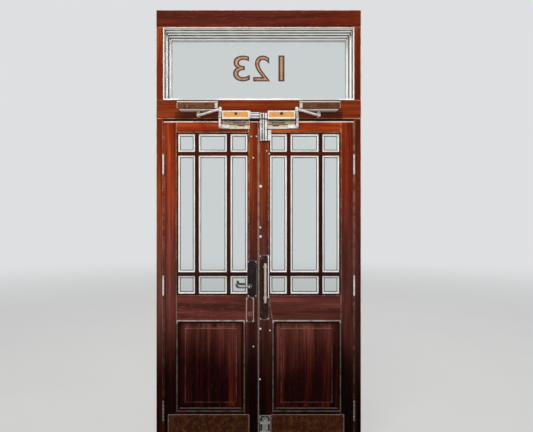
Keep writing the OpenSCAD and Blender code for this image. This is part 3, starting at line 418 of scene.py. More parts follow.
# The leaf's top edge: a black band of painted shadow under the head, shown as a draught strip, over
# a painted highlight on the arris
def headShadowAndHighlight(tree, place, colour):
    look = timber["head"]
    z = axisOf(tree, place, "Z")
    broken = patchesOf(tree, place, look["scale"], look["broken"])
    strip = band(tree, z, *look["strip"], look["stripSoft"])
    arris = times(tree, band(tree, z, *look["arris"], look["arrisSoft"]), broken)
    return blend(tree, arris, blend(tree, strip, colour, rgba(timber["grimeAndShade"])),
                 rgba(look["pale"]))


# Painted shadow under each closer on the bar, shown as oil that the closers have let down
def oilAndCloserShadow(tree, place, colour):
    look = timber["oilAndShadow"]
    side = calc(tree, "ABSOLUTE", axisOf(tree, place, "X"))
    mask = times(tree, band(tree, side, *look["side"], look["sideSoft"]),
                 band(tree, axisOf(tree, place, "Z"), *look["height"], look["heightSoft"]))
    broken = patchesOf(tree, place, look["scale"], look["broken"], 4.0)
    amount = times(tree, broken, look["amount"])
    return blend(tree, times(tree, mask, amount), colour, rgba(timber["grimeAndShade"]))


def timberMaterial(nodeName, along, offset, shade, footShade, edgeWearAndHighlight, dustAndSheenAmount):
    material, tree, shader, place = newMaterial(
        "timber_" + nodeName, **{"Coat Roughness": 0.12, "Specular IOR Level": 0.03})
    grain = {way: addNode(tree, "Mapping", {"Vector": place, "Location": offset,
                                            "Rotation": turn}).outputs["Vector"]
             for way, turn in grainTurns.items() if along in (way, "bars", "mitred")}
    if along in grain:
        vector = grain[along]
    else:
        vector = addNode(tree, "Mix", {0: uprightMask(tree, place, nodeName, along),
                                       4: grain["x"], 5: grain["z"]}, data_type="VECTOR").outputs[1]
    tints = {}
    for part in ("dark", "middle", "light", "wornAndHighlit"):
        level = 1.0 if part == "wornAndHighlit" else shade
        foot, waist, top = (rgba(colour, level) for colour in timber[part])
        foot = rgba(foot, footShade)
        feeds = {"Vector": place, "Foot": foot, "Waist": waist, "Top": top}
        tints[part] = useGroup(tree, darkerBelow, feeds)["Color"]
    figure = useGroup(tree, woodFigure, {"Vector": vector, "Dark": tints["dark"],
                                         "Middle": tints["middle"], "Light": tints["light"]})
    wornAndHighlit = maskOf(tree, rubbedEdgeAndHighlight, place, {"Amount": edgeWearAndHighlight, **timber["wearAndHighlight"]})
    grimeAndShade = maskOf(tree, cornerGrimeAndShade, place, timber["corners"])
    dustAndSheen = maskOf(tree, dustAndTopSheen, place, {"Amount": dustAndSheenAmount})
    # rubbed arrises: wear and painted highlight
    colour = blend(tree, wornAndHighlit, figure["Color"], tints["wornAndHighlit"])
    # dirt and painted shade in corners and joints
    colour = blend(tree, grimeAndShade, colour, rgba(timber["grimeAndShade"]))
    # painted highlight and painted shade along the moulding's bead
    if along == "mitred":
        colour = beadHighlightAndShadow(tree, place, nodeName, colour)
    # painted shadow and painted highlight along the leaf's top edge
    if nodeName.endswith(("stile", "top_rail")):
        colour = headShadowAndHighlight(tree, place, colour)
    # painted shadow under the closers, shown as oil
    if nodeName == "transom_bar":
        colour = oilAndCloserShadow(tree, place, colour)
    # dust and painted sheen on faces that look up
    colour = blend(tree, dustAndSheen, colour, rgba(timber["dustAndSheen"]))
    rough = plus(tree, plus(tree, figure["Roughness"], timber["roughFrom"]),
                 times(tree, grimeAndShade, timber["grimeRough"]), clamp=True)
    gloss = remap(tree, axisOf(tree, place, "Z"), *timber["gloss"])
    coat = times(tree, gloss, calc(tree, "SUBTRACT", 1.0, grimeAndShade))
    feed(tree, shader, {"Base Color": colour, "Roughness": rough, "Coat Weight": coat})
    feedBump(tree, shader, figure["Height"], 0.0003, 0.6)
    return material


# Where |coordinate - centre| lies between start and to, and where the zone "also" holds as well
def zone(axis, colour=None, centre=0.0, to=99.0, start=-1.0, share=1.0, also=None):
    return {"axis": axis, "colour": colour, "centre": centre, "to": to, "start": start,
            "share": share, "also": also}


# What a metal has unless its own entry says otherwise
plainMetal = {
    "rough": 0.3, "metal": 0.7, "along": "x", "edgeAmount": 1.0, "edgeWidth": 0.004,
    "evenness": 0.2, "patches": 40.0, "grimeAndShade": 0.8, "reach": 0.006, "dustAndSheen": 0.4,
    "stainFrom": (0.42, 0.68), "stainShare": 0.75, "mottle": 0.55,
    # colours of dirt with painted shade in corners, and of dust with painted sheen on top
    "grimeAndShadeColour": (0.012, 0.008, 0.006), "dustAndSheenColour": (0.5, 0.46, 0.42),
    "lineRough": 0.2, "stainRough": 0.18, "dirtRough": 0.4,
    "zones": (), "lines": (),
}

# Metals. A zone has another colour, mottled and rubbed as the rest; a line lies over all of that.
# The edge colour on rubbed arrises is wear and painted highlight
metals = {
    "satinSteel": {
        "colour": (0.82, 0.8, 0.76), "stain": (0.34, 0.3, 0.27), "rough": 0.26,
        "edge": (0.94, 0.93, 0.91), "edgeAmount": 0.9, "edgeWidth": 0.0025, "grimeAndShade": 1.0,
        "reach": 0.01, "along": "z",
        "zones": [
            zone("Z", (0.2, 0.14, 0.13), to=0.5)]},
    "boltSteel": {
        "colour": (0.88, 0.87, 0.85), "stain": (0.2, 0.18, 0.17), "rough": 0.24, "metal": 0.6,
        "edge": (0.97, 0.96, 0.95), "edgeWidth": 0.0028, "grimeAndShade": 1.0, "reach": 0.016,
        "along": "z",
        "lines": [
            zone("X", (0.02, 0.017, 0.015), 0.0247, 0.0022, share=0.8),
            zone("X", (0.015, 0.012, 0.01), 0.0376, 0.0028, share=0.9),
            zone("X", (0.015, 0.012, 0.01), 0.0569, 0.0028, share=0.9)]},
    "footBoltSteel": {
        "colour": (0.055, 0.048, 0.045), "stain": (0.016, 0.013, 0.012), "metal": 0.9,
        "edge": (0.97, 0.96, 0.95), "edgeWidth": 0.0042, "evenness": 0.45, "grimeAndShade": 0.7,
        "reach": 0.008, "along": "z",
        "zones": [
            zone("Y", (0.36, 0.34, 0.32), start=0.0045)]},
    "leverSteel": {
        "colour": (0.2, 0.19, 0.185), "stain": (0.08, 0.075, 0.07), "rough": 0.22, "metal": 1.0,
        "edge": (0.8, 0.79, 0.78), "edgeAmount": 0.6, "edgeWidth": 0.003},
    "closerBronze": {
        "colour": (0.15, 0.052, 0.017), "stain": (0.055, 0.017, 0.005), "rough": 0.36,
        "metal": 0.6, "edge": (0.86, 0.8, 0.72), "edgeWidth": 0.005, "evenness": 0.8,
        "reach": 0.01,
        "zones": [
            zone("X", (0.66, 0.6, 0.52), to=0.2762),
            zone("Z", (0.3, 0.24, 0.19), to=2.199)],
        # lines across the closer's front: the pale ones are painted highlights on its top ledge and
        # foot, the dark ones its seams with painted shade under the ledges
        "lines": [
            zone("Z", (0.02, 0.012, 0.008), 2.2602, 0.003, share=0.75),
            zone("Z", (0.92, 0.88, 0.82), 2.2538, 0.003, share=0.9),
            zone("Z", (0.02, 0.01, 0.006), 2.2475, 0.003, share=0.85),
            zone("Z", (0.02, 0.008, 0.005), 2.2095, 0.003, share=0.85),
            zone("Z", (0.8, 0.72, 0.66), 2.203, 0.0034, share=0.85)]},
    "armSteel": {
        "colour": (0.94, 0.93, 0.9), "stain": (0.55, 0.5, 0.44), "metal": 0.4,
        "edge": (0.97, 0.96, 0.94), "edgeWidth": 0.003},
    "kickBronze": {
        "colour": (0.04, 0.0105, 0.003), "stain": (0.12, 0.04, 0.009), "rough": 0.44,
        "edge": (0.62, 0.44, 0.34), "edgeWidth": 0.006, "evenness": 0.7, "grimeAndShade": 0.6},
    "lockBronze": {
        "colour": (0.024, 0.0155, 0.018), "stain": (0.012, 0.007, 0.008), "rough": 0.36,
        "edge": (0.5, 0.38, 0.33), "edgeAmount": 0.9, "evenness": 0.4, "grimeAndShade": 0.7, "along": "z",
        "zones": [
            zone("Z", (0.108, 0.026, 0.018), to=1.0065),
            zone("Y", (0.15, 0.065, 0.045), 0.022, start=0.0257)],
        # pale lines down both sides of the key plate: painted highlights
        "lines": [
            zone("X", (0.56, 0.36, 0.31), -0.056, 0.0245, 0.0195, 0.85, zone("Z", to=1.0065))]},
    "pullBronze": {
        "colour": (0.032, 0.012, 0.008), "stain": (0.055, 0.026, 0.02), "rough": 0.34,
        "edge": (0.66, 0.52, 0.46), "evenness": 0.6, "along": "z",
        "zones": [
            zone("Y", (0.66, 0.55, 0.5), start=0.0036)],
        # a pale line down the plate's right side: painted highlight
        "lines": [
            zone("X", (0.93, 0.91, 0.88), 0.0632, 0.0032, share=0.9, also=zone("Y", to=0.0034,
                also=zone("Z", centre=1.139, to=0.137)))]},
    "goldAnodised": {
        "colour": (0.74, 0.36, 0.1), "stain": (0.5, 0.22, 0.06), "rough": 0.34,
        "edge": (0.94, 0.88, 0.76), "evenness": 0.7, "grimeAndShade": 1.0, "reach": 0.01,
        "zones": [
            # the upper flange's raised front is pale: a painted highlight on its border
            zone("Y", (0.86, 0.8, 0.68), start=0.044),
            zone("Z", (0.8, 0.72, 0.55), to=2.151),
            # bands across the lower flange: the dark top one is painted shade below the web, the
            # rest pale and dark bands
            zone("Z", (0.035, 0.018, 0.01), 2.144, 0.0034, share=0.9),
            zone("Z", (0.72, 0.46, 0.17), 2.1325, 0.006, share=0.9),
            zone("Z", (0.05, 0.022, 0.01), 2.1209, 0.003, share=0.85),
            zone("Z", (0.74, 0.52, 0.24), 2.112, 0.0045, share=0.7)]},
    "caseAluminium": {
        "colour": (0.86, 0.86, 0.86), "stain": (0.46, 0.45, 0.44), "metal": 0.5,
        "edge": (0.97, 0.97, 0.97), "edgeWidth": 0.0018, "grimeAndShade": 1.0, "reach": 0.01,
        "lines": [
            zone("Y", (0.01, 0.008, 0.007), 0.0, 0.029, 0.025, 0.95,
                zone("X", centre=-0.0233, to=0.0276))]},
    "kickScrew": {
        "colour": (0.1, 0.045, 0.018), "stain": (0.05, 0.02, 0.007), "rough": 0.4, "metal": 0.8,
        "edge": (0.3, 0.2, 0.12), "edgeAmount": 0.5, "edgeWidth": 0.0006, "grimeAndShade": 0.7,
        "reach": 0.003},
    "boltBlack": {
        "colour": (0.055, 0.04, 0.035), "stain": (0.02, 0.015, 0.013), "metal": 0.9,
        "edge": (0.7, 0.66, 0.6), "edgeAmount": 0.8, "edgeWidth": 0.0012, "reach": 0.004},
}


def zoneMask(tree, place, area):
    away = calc(tree, "ABSOLUTE", calc(tree, "SUBTRACT", axisOf(tree, place, area["axis"]),
                                       area["centre"]))
    inside = times(tree, calc(tree, "GREATER_THAN", away, area["start"]),
                   calc(tree, "LESS_THAN", away, area["to"]))
    if area["also"]:
        inside = times(tree, inside, zoneMask(tree, place, area["also"]))
    return times(tree, inside, area["share"])


def metalMaterial(name):
    look = {**plainMetal, **metals[name]}
    material, tree, shader, place = newMaterial(name, **{"Metallic": look["metal"],
                                                         "Specular IOR Level": 0.15})
    mapped = addNode(tree, "Mapping", {"Vector": place, "Rotation": grainTurns[look["along"]]})
    brushed = useGroup(tree, brushedLines, {"Vector": mapped.outputs["Vector"]})
    wornAndHighlit = maskOf(tree, rubbedEdgeAndHighlight, place, {
        "Width": look["edgeWidth"], "Amount": look["edgeAmount"], "Patches": look["patches"],
        "Evenness": look["evenness"]})
    grimeAndShade = maskOf(tree, cornerGrimeAndShade, place, {"Reach": look["reach"], "Amount": look["grimeAndShade"]})
    dustAndSheen = maskOf(tree, dustAndTopSheen, place, {"Amount": look["dustAndSheen"]})
    stained = times(tree, remap(tree, brushed["Stain"], *look["stainFrom"]),
                    look["stainShare"])
    colour = blend(tree, stained, rgba(look["colour"]), rgba(look["stain"]))
    for area in look["zones"]:
        mottled = blend(tree, stained, rgba(area["colour"]), rgba(area["colour"], look["mottle"]))
        colour = blend(tree, zoneMask(tree, place, area), colour, mottled)
    # rubbed arrises and scratches take the edge colour: wear, scratches and painted highlight
    rubbedAndHighlit = calc(tree, "MAXIMUM", wornAndHighlit, brushed["Scratch"])
    colour = blend(tree, rubbedAndHighlit, colour, rgba(look["edge"]))
    for area in look["lines"]:
        colour = blend(tree, zoneMask(tree, place, area), colour, rgba(area["colour"]))
    # dirt and painted shade in corners
    colour = blend(tree, grimeAndShade, colour, rgba(look["grimeAndShadeColour"]))
    # dust and painted sheen on faces that look up
    colour = blend(tree, dustAndSheen, colour, rgba(look["dustAndSheenColour"]))
    rough = plus(tree, look["rough"] - look["lineRough"] / 2,
                 times(tree, brushed["Lines"], look["lineRough"]))
    rough = plus(tree, rough, times(tree, stained, look["stainRough"]))
    dirty = times(tree, calc(tree, "MAXIMUM", dustAndSheen, grimeAndShade), look["dirtRough"])
    rough = plus(tree, rough, dirty, clamp=True)
    feed(tree, shader, {"Base Color": colour, "Roughness": rough})
    feedBump(tree, shader, plus(tree, brushed["Lines"], brushed["Scratch"]), 0.00006, 0.5)
    return material


# Old white paint on the transom light's lining, its white also a painted light for the daylight on
# the reveal, with dark lines of painted shade along some of its steps
paint = {
    "colour": (0.97, 0.97, 0.96),
    "yellowed": (0.88, 0.86, 0.81),
    "bare": (0.26, 0.10, 0.05),
    "grimeAndShade": (0.05, 0.035, 0.025),
    # step: colour of the painted shade lines on the steps
    "step": (0.012, 0.009, 0.008),
    "stepDepth": 0.0296,
    "sideSteps": (1, 3),            # a dark line of painted shade on these risers and in the corner before them, and under the head on these as well
    "topSteps": (2, 4),             # and under the head on these as well
    "topFrom": 2.716,
    "firstLine": (0.0015, 0.0100),
    "riserHalf": 0.004,
    "riserSoft": 0.001,
    "cornerLine": 0.0035,
    "cornerPast": 0.001,
    "cornerSoft": 0.0008,
    "facingRoom": -0.6,
    "yellowing": (0.45, 0.75, 0.0, 0.5),
    "dirtAndShade": (0.30, 0.55, 0.75, 1.0),
    "wearAndHighlight": {"Width": 0.0022, "Amount": 0.25, "Patches": 55.0},
    "corners": {"Reach": 0.004, "Amount": 0.5, "Patches": 14.0},
}


def paintMaterial(name, stepped):
    material, tree, shader, place = newMaterial(name, Roughness=0.42)
    yellowing = patchesOf(tree, place, 7.0, paint["yellowing"], roughness=0.6)
    wornAndHighlit = maskOf(tree, rubbedEdgeAndHighlight, place, paint["wearAndHighlight"])
    grimeAndShade = maskOf(tree, cornerGrimeAndShade, place, paint["corners"])
    colour = blend(tree, yellowing, rgba(paint["colour"]), rgba(paint["yellowed"]))
    colour = blend(tree, wornAndHighlit, colour, rgba(paint["bare"]))
    if stepped:
        facing = axisOf(tree, addNode(tree, "NewGeometry").outputs["Normal"], "Y")
        front = calc(tree, "LESS_THAN", facing, paint["facingRoom"])
        depth = axisOf(tree, place, "Y")
        underHead = calc(tree, "GREATER_THAN", axisOf(tree, place, "Z"), paint["topFrom"])
        first = band(tree, depth, *paint["firstLine"], paint["cornerSoft"])
        first = times(tree, calc(tree, "SUBTRACT", 1.0, front), first)
        dark = times(tree, underHead, first)
        for step in paint["sideSteps"] + paint["topSteps"]:
            at = paint["stepDepth"] * step
            riser = band(tree, depth, at - paint["riserHalf"], at + paint["riserHalf"],
                         paint["riserSoft"])
            corner = band(tree, depth, at - paint["cornerLine"], at + paint["cornerPast"],
                          paint["cornerSoft"])
            line = calc(tree, "MAXIMUM", times(tree, front, riser), corner)
            if step in paint["topSteps"]:
                line = times(tree, line, underHead)
            dark = calc(tree, "MAXIMUM", dark, line)
        # dark lines of painted shade on the risers and in the step corners, broken in patches
        dirtAndShade = patchesOf(tree, place, 11.0, paint["dirtAndShade"], 4.0)
        colour = blend(tree, times(tree, dark, dirtAndShade), colour, rgba(paint["step"]))
    # dirt and painted shade in corners
    colour = blend(tree, grimeAndShade, colour, rgba(paint["grimeAndShade"]))
    tree.links.new(colour, shader.inputs["Base Color"])
    strokes = noise(tree, stretch(tree, place, (30.0, 30.0, 260.0)), detail=2.0)
    feedBump(tree, shader, strokes, 0.0003, 0.3)
    return material


# Clear glass, a little smeared
glass = {"tint": (0.80, 0.845, 0.84), "smear": (6.0, 1.0, 2.5),
         "smearRough": (0.55, 0.8, 0.0, 0.10)}


def glassMaterial(name):
    material, tree, shader, place = newMaterial(
        name, **{"Base Color": rgba(glass["tint"]), "Transmission Weight": 1.0, "IOR": 1.45})
    smear = noise(tree, stretch(tree, place, glass["smear"]), scale=1.6, detail=5.0)
    tree.links.new(remap(tree, smear, *glass["smearRough"]), shader.inputs["Roughness"])
    return material


# Chalky or matt finishes: putty, gold leaf, outline paint, sealant and pile; the putty's white and
# the sealant's black inside the panes are also painted highlight and painted shadow
matts = {
    "puttyAndRimHighlight": {"colour": (0.94, 0.935, 0.92), "dirtAndShade": (0.76, 0.73, 0.68), "rough": 0.6,
                 "scale": 30.0},
    "sealantAndShadowLine": {"colour": (0.020, 0.017, 0.016), "dirtAndShade": (0.06, 0.05, 0.045), "rough": 0.5,
                     "scale": 40.0},
    "goldLeaf": {"colour": (0.44, 0.22, 0.11), "dirtAndShade": (0.15, 0.05, 0.020), "rough": 0.36,
                 "scale": 45.0, "metal": 0.5},
    "outlineBrown": {"colour": (0.035, 0.010, 0.005), "dirtAndShade": (0.015, 0.005, 0.003), "rough": 0.45,
                     "scale": 60.0},
    "pileBrush": {"colour": (0.012, 0.009, 0.008), "dirtAndShade": (0.03, 0.024, 0.02), "rough": 0.85,
                  "scale": 200.0},
}
chalk = {"patches": (0.42, 0.72, 0.0, 0.85), "corners": {"Reach": 0.005, "Amount": 0.4},
         "cornerShade": 0.3, "rough": (-0.08, 0.1), "bumpFiner": 12}


def mattMaterial(name):
    look = matts[name]
    material, tree, shader, place = newMaterial(name, Metallic=look.get("metal", 0.0))
    patch = noise(tree, place, scale=look["scale"], detail=5.0, roughness=0.65)
    grimeAndShade = maskOf(tree, cornerGrimeAndShade, place, chalk["corners"])
    colour = blend(tree, remap(tree, patch, *chalk["patches"]), rgba(look["colour"]),
                   rgba(look["dirtAndShade"]))
    # corners darkened: dirt and painted shade
    colour = blend(tree, grimeAndShade, colour, rgba(look["dirtAndShade"], chalk["cornerShade"]))
    rough = remap(tree, patch, 0.3, 0.7, *(look["rough"] + change for change in chalk["rough"]))
    feed(tree, shader, {"Base Color": colour, "Roughness": rough})
    grit = noise(tree, place, scale=look["scale"] * chalk["bumpFiner"])
    feedBump(tree, shader, grit, 0.0002, 0.5)
    return material


# The threshold's worn, unvarnished timber
boards = {"Dark": (0.05, 0.03, 0.02), "Middle": (0.16, 0.105, 0.07), "Light": (0.27, 0.19, 0.13)}
boardWear = {"dustAndSheen": (0.33, 0.29, 0.25), "wornAndHighlit": (0.42, 0.33, 0.25), "roughFrom": 0.45}


def thresholdMaterial(name):
    material, tree, shader, place = newMaterial(name)
    tints = {part: rgba(colour) for part, colour in boards.items()}
    figure = useGroup(tree, woodFigure, {"Vector": place, **tints})
    dustAndSheen = maskOf(tree, dustAndTopSheen, place, {"Amount": 0.5})
    wornAndHighlit = maskOf(tree, rubbedEdgeAndHighlight, place, {"Width": 0.004, "Amount": 0.7})
    colour = blend(tree, dustAndSheen, figure["Color"], rgba(boardWear["dustAndSheen"]))
    colour = blend(tree, wornAndHighlit, colour, rgba(boardWear["wornAndHighlit"]))
    rough = plus(tree, figure["Roughness"], boardWear["roughFrom"])
    feed(tree, shader, {"Base Color": colour, "Roughness": rough})
    feedBump(tree, shader, figure["Height"], 0.0005, 0.7)
    return material


made = {name: metalMaterial(name) for name in metals}
made.update({name: mattMaterial(name) for name in matts})
# white paint that also paints the daylight on the lining
made["whitePaintAndDaylight"] = paintMaterial("whitePaintAndDaylight", True)
made["beadPaint"] = paintMaterial("beadPaint", False)
made["clearGlass"] = glassMaterial("clearGlass")
made["thresholdBoards"] = thresholdMaterial("thresholdBoards")
print("materials ready,", len(made))


def dress(nodeName, material):
    mesh = nodes[nodeName].data
    mesh.materials.clear()
    mesh.materials.append(material)


# Rounded arrises: the flat triangles are joined first, so that no seam opens in a face
easing = {"weld": 0.00002, "flat": 4, "width": 0.0016, "segments": 2, "corner": 40}


def easeEdges(nodeName):
    piece = nodes[nodeName]
    weld = piece.modifiers.new("weld", "WELD")
    weld.merge_threshold = easing["weld"]
    tidy = piece.modifiers.new("tidy", "DECIMATE")
    tidy.decimate_type = "DISSOLVE"
    tidy.angle_limit = math.radians(easing["flat"])
    ease = piece.modifiers.new("ease", "BEVEL")
    ease.width = easing["width"]
    ease.segments = easing["segments"]
    ease.limit_method = "ANGLE"
    ease.angle_limit = math.radians(easing["corner"])


# Each timber member: the way its grain runs, its shade, how rubbed its edges are (wear and painted
# highlight), and its dust (dust and painted sheen)
members = {
    "hinge_stile": ("z", 1.03, 0.85, 0.35), "meeting_stile": ("z", 0.56, 0.95, 0.35),
    "top_rail": ("x", 0.99, 0.85, 0.35), "lock_rail": ("x", 1.18, 0.7, 0.35),
    # glazing_bars: a low shade that darkens the bars far below the same timber elsewhere: painted
    # shade
    "bottom_rail": ("x", 0.8, 0.6, 0.35), "glazing_bars": ("bars", 0.16, 0.15, 0.3),
    "panel": ("z", 1.07, 0.6, 0.5), "panel_moulding": ("mitred", 0.8, 0.5, 0.35),
    "left_jamb": ("z", 0.7, 0.85, 0.35), "right_jamb": ("z", 0.52, 0.85, 0.35),
    "head_rail": ("x", 0.52, 0.9, 0.35), "transom_bar": ("x", 0.56, 0.95, 0.35),
}
rightShades = {"hinge_stile": 0.78, "meeting_stile": 0.92, "lock_rail": 0.74, "panel": 0.9}
footShades = {"panel": 2.2}


def dressTimber():
    for index, (member, (along, shade, edgeWearAndHighlight, dustAndSheen)) in enumerate(members.items()):
        names = [member] if member in nodes else ["left_" + member, "right_" + member]
        for side, nodeName in enumerate(names):
            offset = (1.37 * index + 0.61 * side, 0.43 * index, 0.29 * index + 0.77 * side)
            tone = shade * rightShades.get(member, 1.0) if side else shade
            dress(nodeName, timberMaterial(nodeName, along, offset, tone,
                                           footShades.get(member, 1.0), edgeWearAndHighlight, dustAndSheen))
            if member != "glazing_bars":
                easeEdges(nodeName)


# Everything that isn't timber
finishes = {
    "clearGlass": ("left_glass", "right_glass", "transom_glass"),
    "kickBronze": ("left_kick_plate", "right_kick_plate"),
    "satinSteel": ("left_leaf_hinges", "right_leaf_hinges", "left_frame_hinges",
                   "right_frame_hinges"),
    "boltSteel": ("top_bolt", "bolt_keepers"),
    "footBoltSteel": ("bottom_bolt",),
    "goldAnodised": ("left_magnet_bracket", "right_magnet_bracket"),
    "armSteel": ("left_closer_shoe", "right_closer_shoe", "left_main_arm", "right_main_arm",
                 "left_forearm", "right_forearm"),
    "closerBronze": ("left_closer", "right_closer"),
    "caseAluminium": ("magnet_housing",),
    "leverSteel": ("lever_handle",),
    "lockBronze": ("lock_plates",),
    "pullBronze": ("pull_handle",),
    "whitePaintAndDaylight": ("transom_lining",),
    "beadPaint": ("transom_beads",),
    "thresholdBoards": ("threshold",),
}

dressTimber()
for finish, nodeNames in finishes.items():
    for nodeName in nodeNames:
        dress(nodeName, made[finish])
print("finishes on the frame's pieces")


# One object out of a bmesh
def makePiece(name, bm, finish, body, smooth=True):
    bmesh.ops.recalc_face_normals(bm, faces=bm.faces)
    mesh = bpy.data.meshes.new(name)
    bm.to_mesh(mesh)
    bm.free()
    mesh.materials.append(made[finish])
    if smooth:
        mesh.shade_smooth()
        mesh.set_sharp_from_angle(angle=math.radians(38))
    piece = bpy.data.objects.new(name, mesh)
    bpy.context.scene.collection.objects.link(piece)
    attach(piece, body)


def putIn(bm, part, matrix):
    bmesh.ops.transform(part, matrix=matrix, verts=part.verts)
    mesh = bpy.data.meshes.new("part")
    part.to_mesh(mesh)
    part.free()
    bm.from_mesh(mesh)
    bpy.data.meshes.remove(mesh)


# What a small part's own +Z looks at: the room, the street, or up
def facingMatrix(place, facing, turn=0.0):
    tilts = {"room": 90, "street": -90, "up": 0}
    return (Matrix.Translation(place) @ Matrix.Rotation(math.radians(tilts[facing]), 4, "X")
            @ Matrix.Rotation(turn, 4, "Z"))


def everything(bm):
    return bm.verts[:] + bm.edges[:] + bm.faces[:]


# Heads of screws, studs and bolts: the screw's height in metres, all else as shares of a head's
# own radius or height
heads = {
    "segments": 20, "rings": 12,
    "screw": {"height": 0.0012, "taper": 0.9, "slotHalf": 0.14, "slotEnd": 0.82, "slotDepth": 0.55},
    "stud": {"height": 0.7},
    "socket": {"segments": 24, "round": 0.12, "rimFrom": 0.9, "wall": 0.38, "depth": 0.5},
}


def slottedScrew(bm, place, facing, radius, turn=0.0):
    look = heads["screw"]
    height = look["height"]
    part = bmesh.new()
    bmesh.ops.create_cone(part, cap_ends=True, segments=heads["segments"], radius1=radius,
                          radius2=radius * look["taper"], depth=height,
                          matrix=Matrix.Translation((0, 0, height / 2)))
    slotHalf, slotEnd = radius * look["slotHalf"], radius * look["slotEnd"]
    for normal, reach in (((0, 1, 0), slotHalf), ((0, -1, 0), slotHalf),
                          ((1, 0, 0), slotEnd), ((-1, 0, 0), slotEnd)):
        bmesh.ops.bisect_plane(part, geom=everything(part), plane_co=Vector(normal) * reach,
                               plane_no=normal)
    slot = [face for face in part.faces if face.normal.z > 0.9
            and abs(face.calc_center_median().x) < slotEnd
            and abs(face.calc_center_median().y) < slotHalf]
    pushed = bmesh.ops.extrude_face_region(part, geom=slot)["geom"]
    bmesh.ops.delete(part, geom=slot, context="FACES_ONLY")
    bmesh.ops.translate(part, vec=(0, 0, -height * look["slotDepth"]),
                        verts=[v for v in pushed if isinstance(v, bmesh.types.BMVert)])
    putIn(bm, part, facingMatrix(place, facing, turn))


def domedHead(bm, place, facing, radius):
    part = bmesh.new()
    bmesh.ops.create_uvsphere(part, u_segments=heads["segments"], v_segments=heads["rings"],
                              radius=radius)
    cut = bmesh.ops.bisect_plane(part, geom=everything(part), plane_co=(0, 0, 0),
                                 plane_no=(0, 0, 1), clear_inner=True)
    rim = [edge for edge in cut["geom_cut"] if isinstance(edge, bmesh.types.BMEdge)]
    bmesh.ops.holes_fill(part, edges=rim, sides=0)
    bmesh.ops.scale(part, vec=(1, 1, heads["stud"]["height"]), verts=part.verts)
    putIn(bm, part, facingMatrix(place, facing))


# Cap-head bolt with a socket
def socketBolt(bm, place, facing, radius, height):
    look = heads["socket"]
    part = bmesh.new()
    bmesh.ops.create_cone(part, cap_ends=True, segments=look["segments"], radius1=radius,
                          radius2=radius, depth=height,
                          matrix=Matrix.Translation((0, 0, height / 2)))
    rim = [edge for edge in part.edges
           if all(v.co.z > height * look["rimFrom"] for v in edge.verts)]
    bmesh.ops.bevel(part, geom=rim, offset=radius * look["round"], segments=2, affect="EDGES",
                    profile=0.5, material=-1)
    top = max(part.faces, key=lambda face: (face.calc_center_median().z, face.calc_area()))
    bmesh.ops.inset_region(part, faces=[top], thickness=radius * look["wall"])
    bmesh.ops.translate(part, vec=(0, 0, -height * look["depth"]), verts=top.verts[:])
    putIn(bm, part, facingMatrix(place, facing))


# Screws and bolts on the plates, places in metres on the faces that they sit on
fixings = {
    "leafDepth": 0.044,
    "radius": 0.0042,
    "kickPlates": {"columns": 7, "rows": 3, "inset": 0.012, "radius": 0.004},
    "bracketFlange": {"x": (-0.226, -0.196, -0.1, -0.064), "z": (2.0985, 2.1455), "y": -0.004},
    "bracketBolt": {"x": -0.145, "z": 2.1815, "y": -0.0435, "radius": 0.0085, "height": 0.005},
    "lockPlate": {"x": (-0.0665, -0.0185), "z": (1.016, 1.236), "y": -0.003},
    "keyPlate": {"x": (-0.0760, -0.0360), "z": (0.855, 0.997), "y": -0.003},
    "pullPlate": {"x": (0.0115, 0.0595), "z": (0.869, 1.271), "y": -0.003},
    "topBolt": {"x": (0.0500,), "z": (2.026, 2.083, 2.141), "y": -0.006, "radius": 0.003},
    "bottomBolt": {"x": (0.0115, 0.0705), "z": (0.034, 0.236), "y": -0.003},
    "threshold": {"x": (-0.52, -0.26, 0.0, 0.26, 0.52), "y": 0.12, "z": 0.012, "radius": 0.005},
}


def plateScrews(bm, plate, facing="room", sign=1):
    y = plate["y"] if facing == "room" else fixings["leafDepth"] - plate["y"]
    radius = plate.get("radius", fixings["radius"])
    for column, x in enumerate(plate["x"]):
        for row, z in enumerate(plate["z"]):
            slottedScrew(bm, (sign * x, y, z), facing, radius, turn=1.3 * column + 2.1 * row)


def leafFixings():
    for side, sign in (("left", 1), ("right", -1)):
        kick = fixings["kickPlates"]
        inset, lastColumn, lastRow = kick["inset"], kick["columns"] - 1, kick["rows"] - 1
        low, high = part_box(side + "_kick_plate")
        bm = bmesh.new()
        for i in range(kick["columns"]):
            for j in range(kick["rows"]):
                if i in (0, lastColumn) or j in (0, lastRow):
                    x = low[0] + inset + (high[0] - low[0] - 2 * inset) * i / lastColumn
                    z = low[2] + inset + (high[2] - low[2] - 2 * inset) * j / lastRow
                    slottedScrew(bm, (x, low[1], z), "room", kick["radius"], turn=i + 2.0 * j)
        makePiece(side + "KickScrews", bm, "kickScrew", side + "_leaf")
        bm = bmesh.new()
        plateScrews(bm, fixings["bracketFlange"], sign=sign)
        makePiece(side + "BracketScrews", bm, "satinSteel", side + "_leaf")
        bolt = fixings["bracketBolt"]
        bm = bmesh.new()
        socketBolt(bm, (sign * bolt["x"], bolt["y"], bolt["z"]), "room", bolt["radius"],
                   bolt["height"])
        makePiece(side + "BracketBolt", bm, "boltBlack", side + "_leaf")


# Screws of each set: its body, its plates and the sides that they are on
screwSets = {
    "lockScrews": ("left_leaf", ("lockPlate", "keyPlate"), ("room", "street")),
    "rightFurnitureScrews": ("right_leaf", ("pullPlate", "bottomBolt", "topBolt"), ("room",)),
}


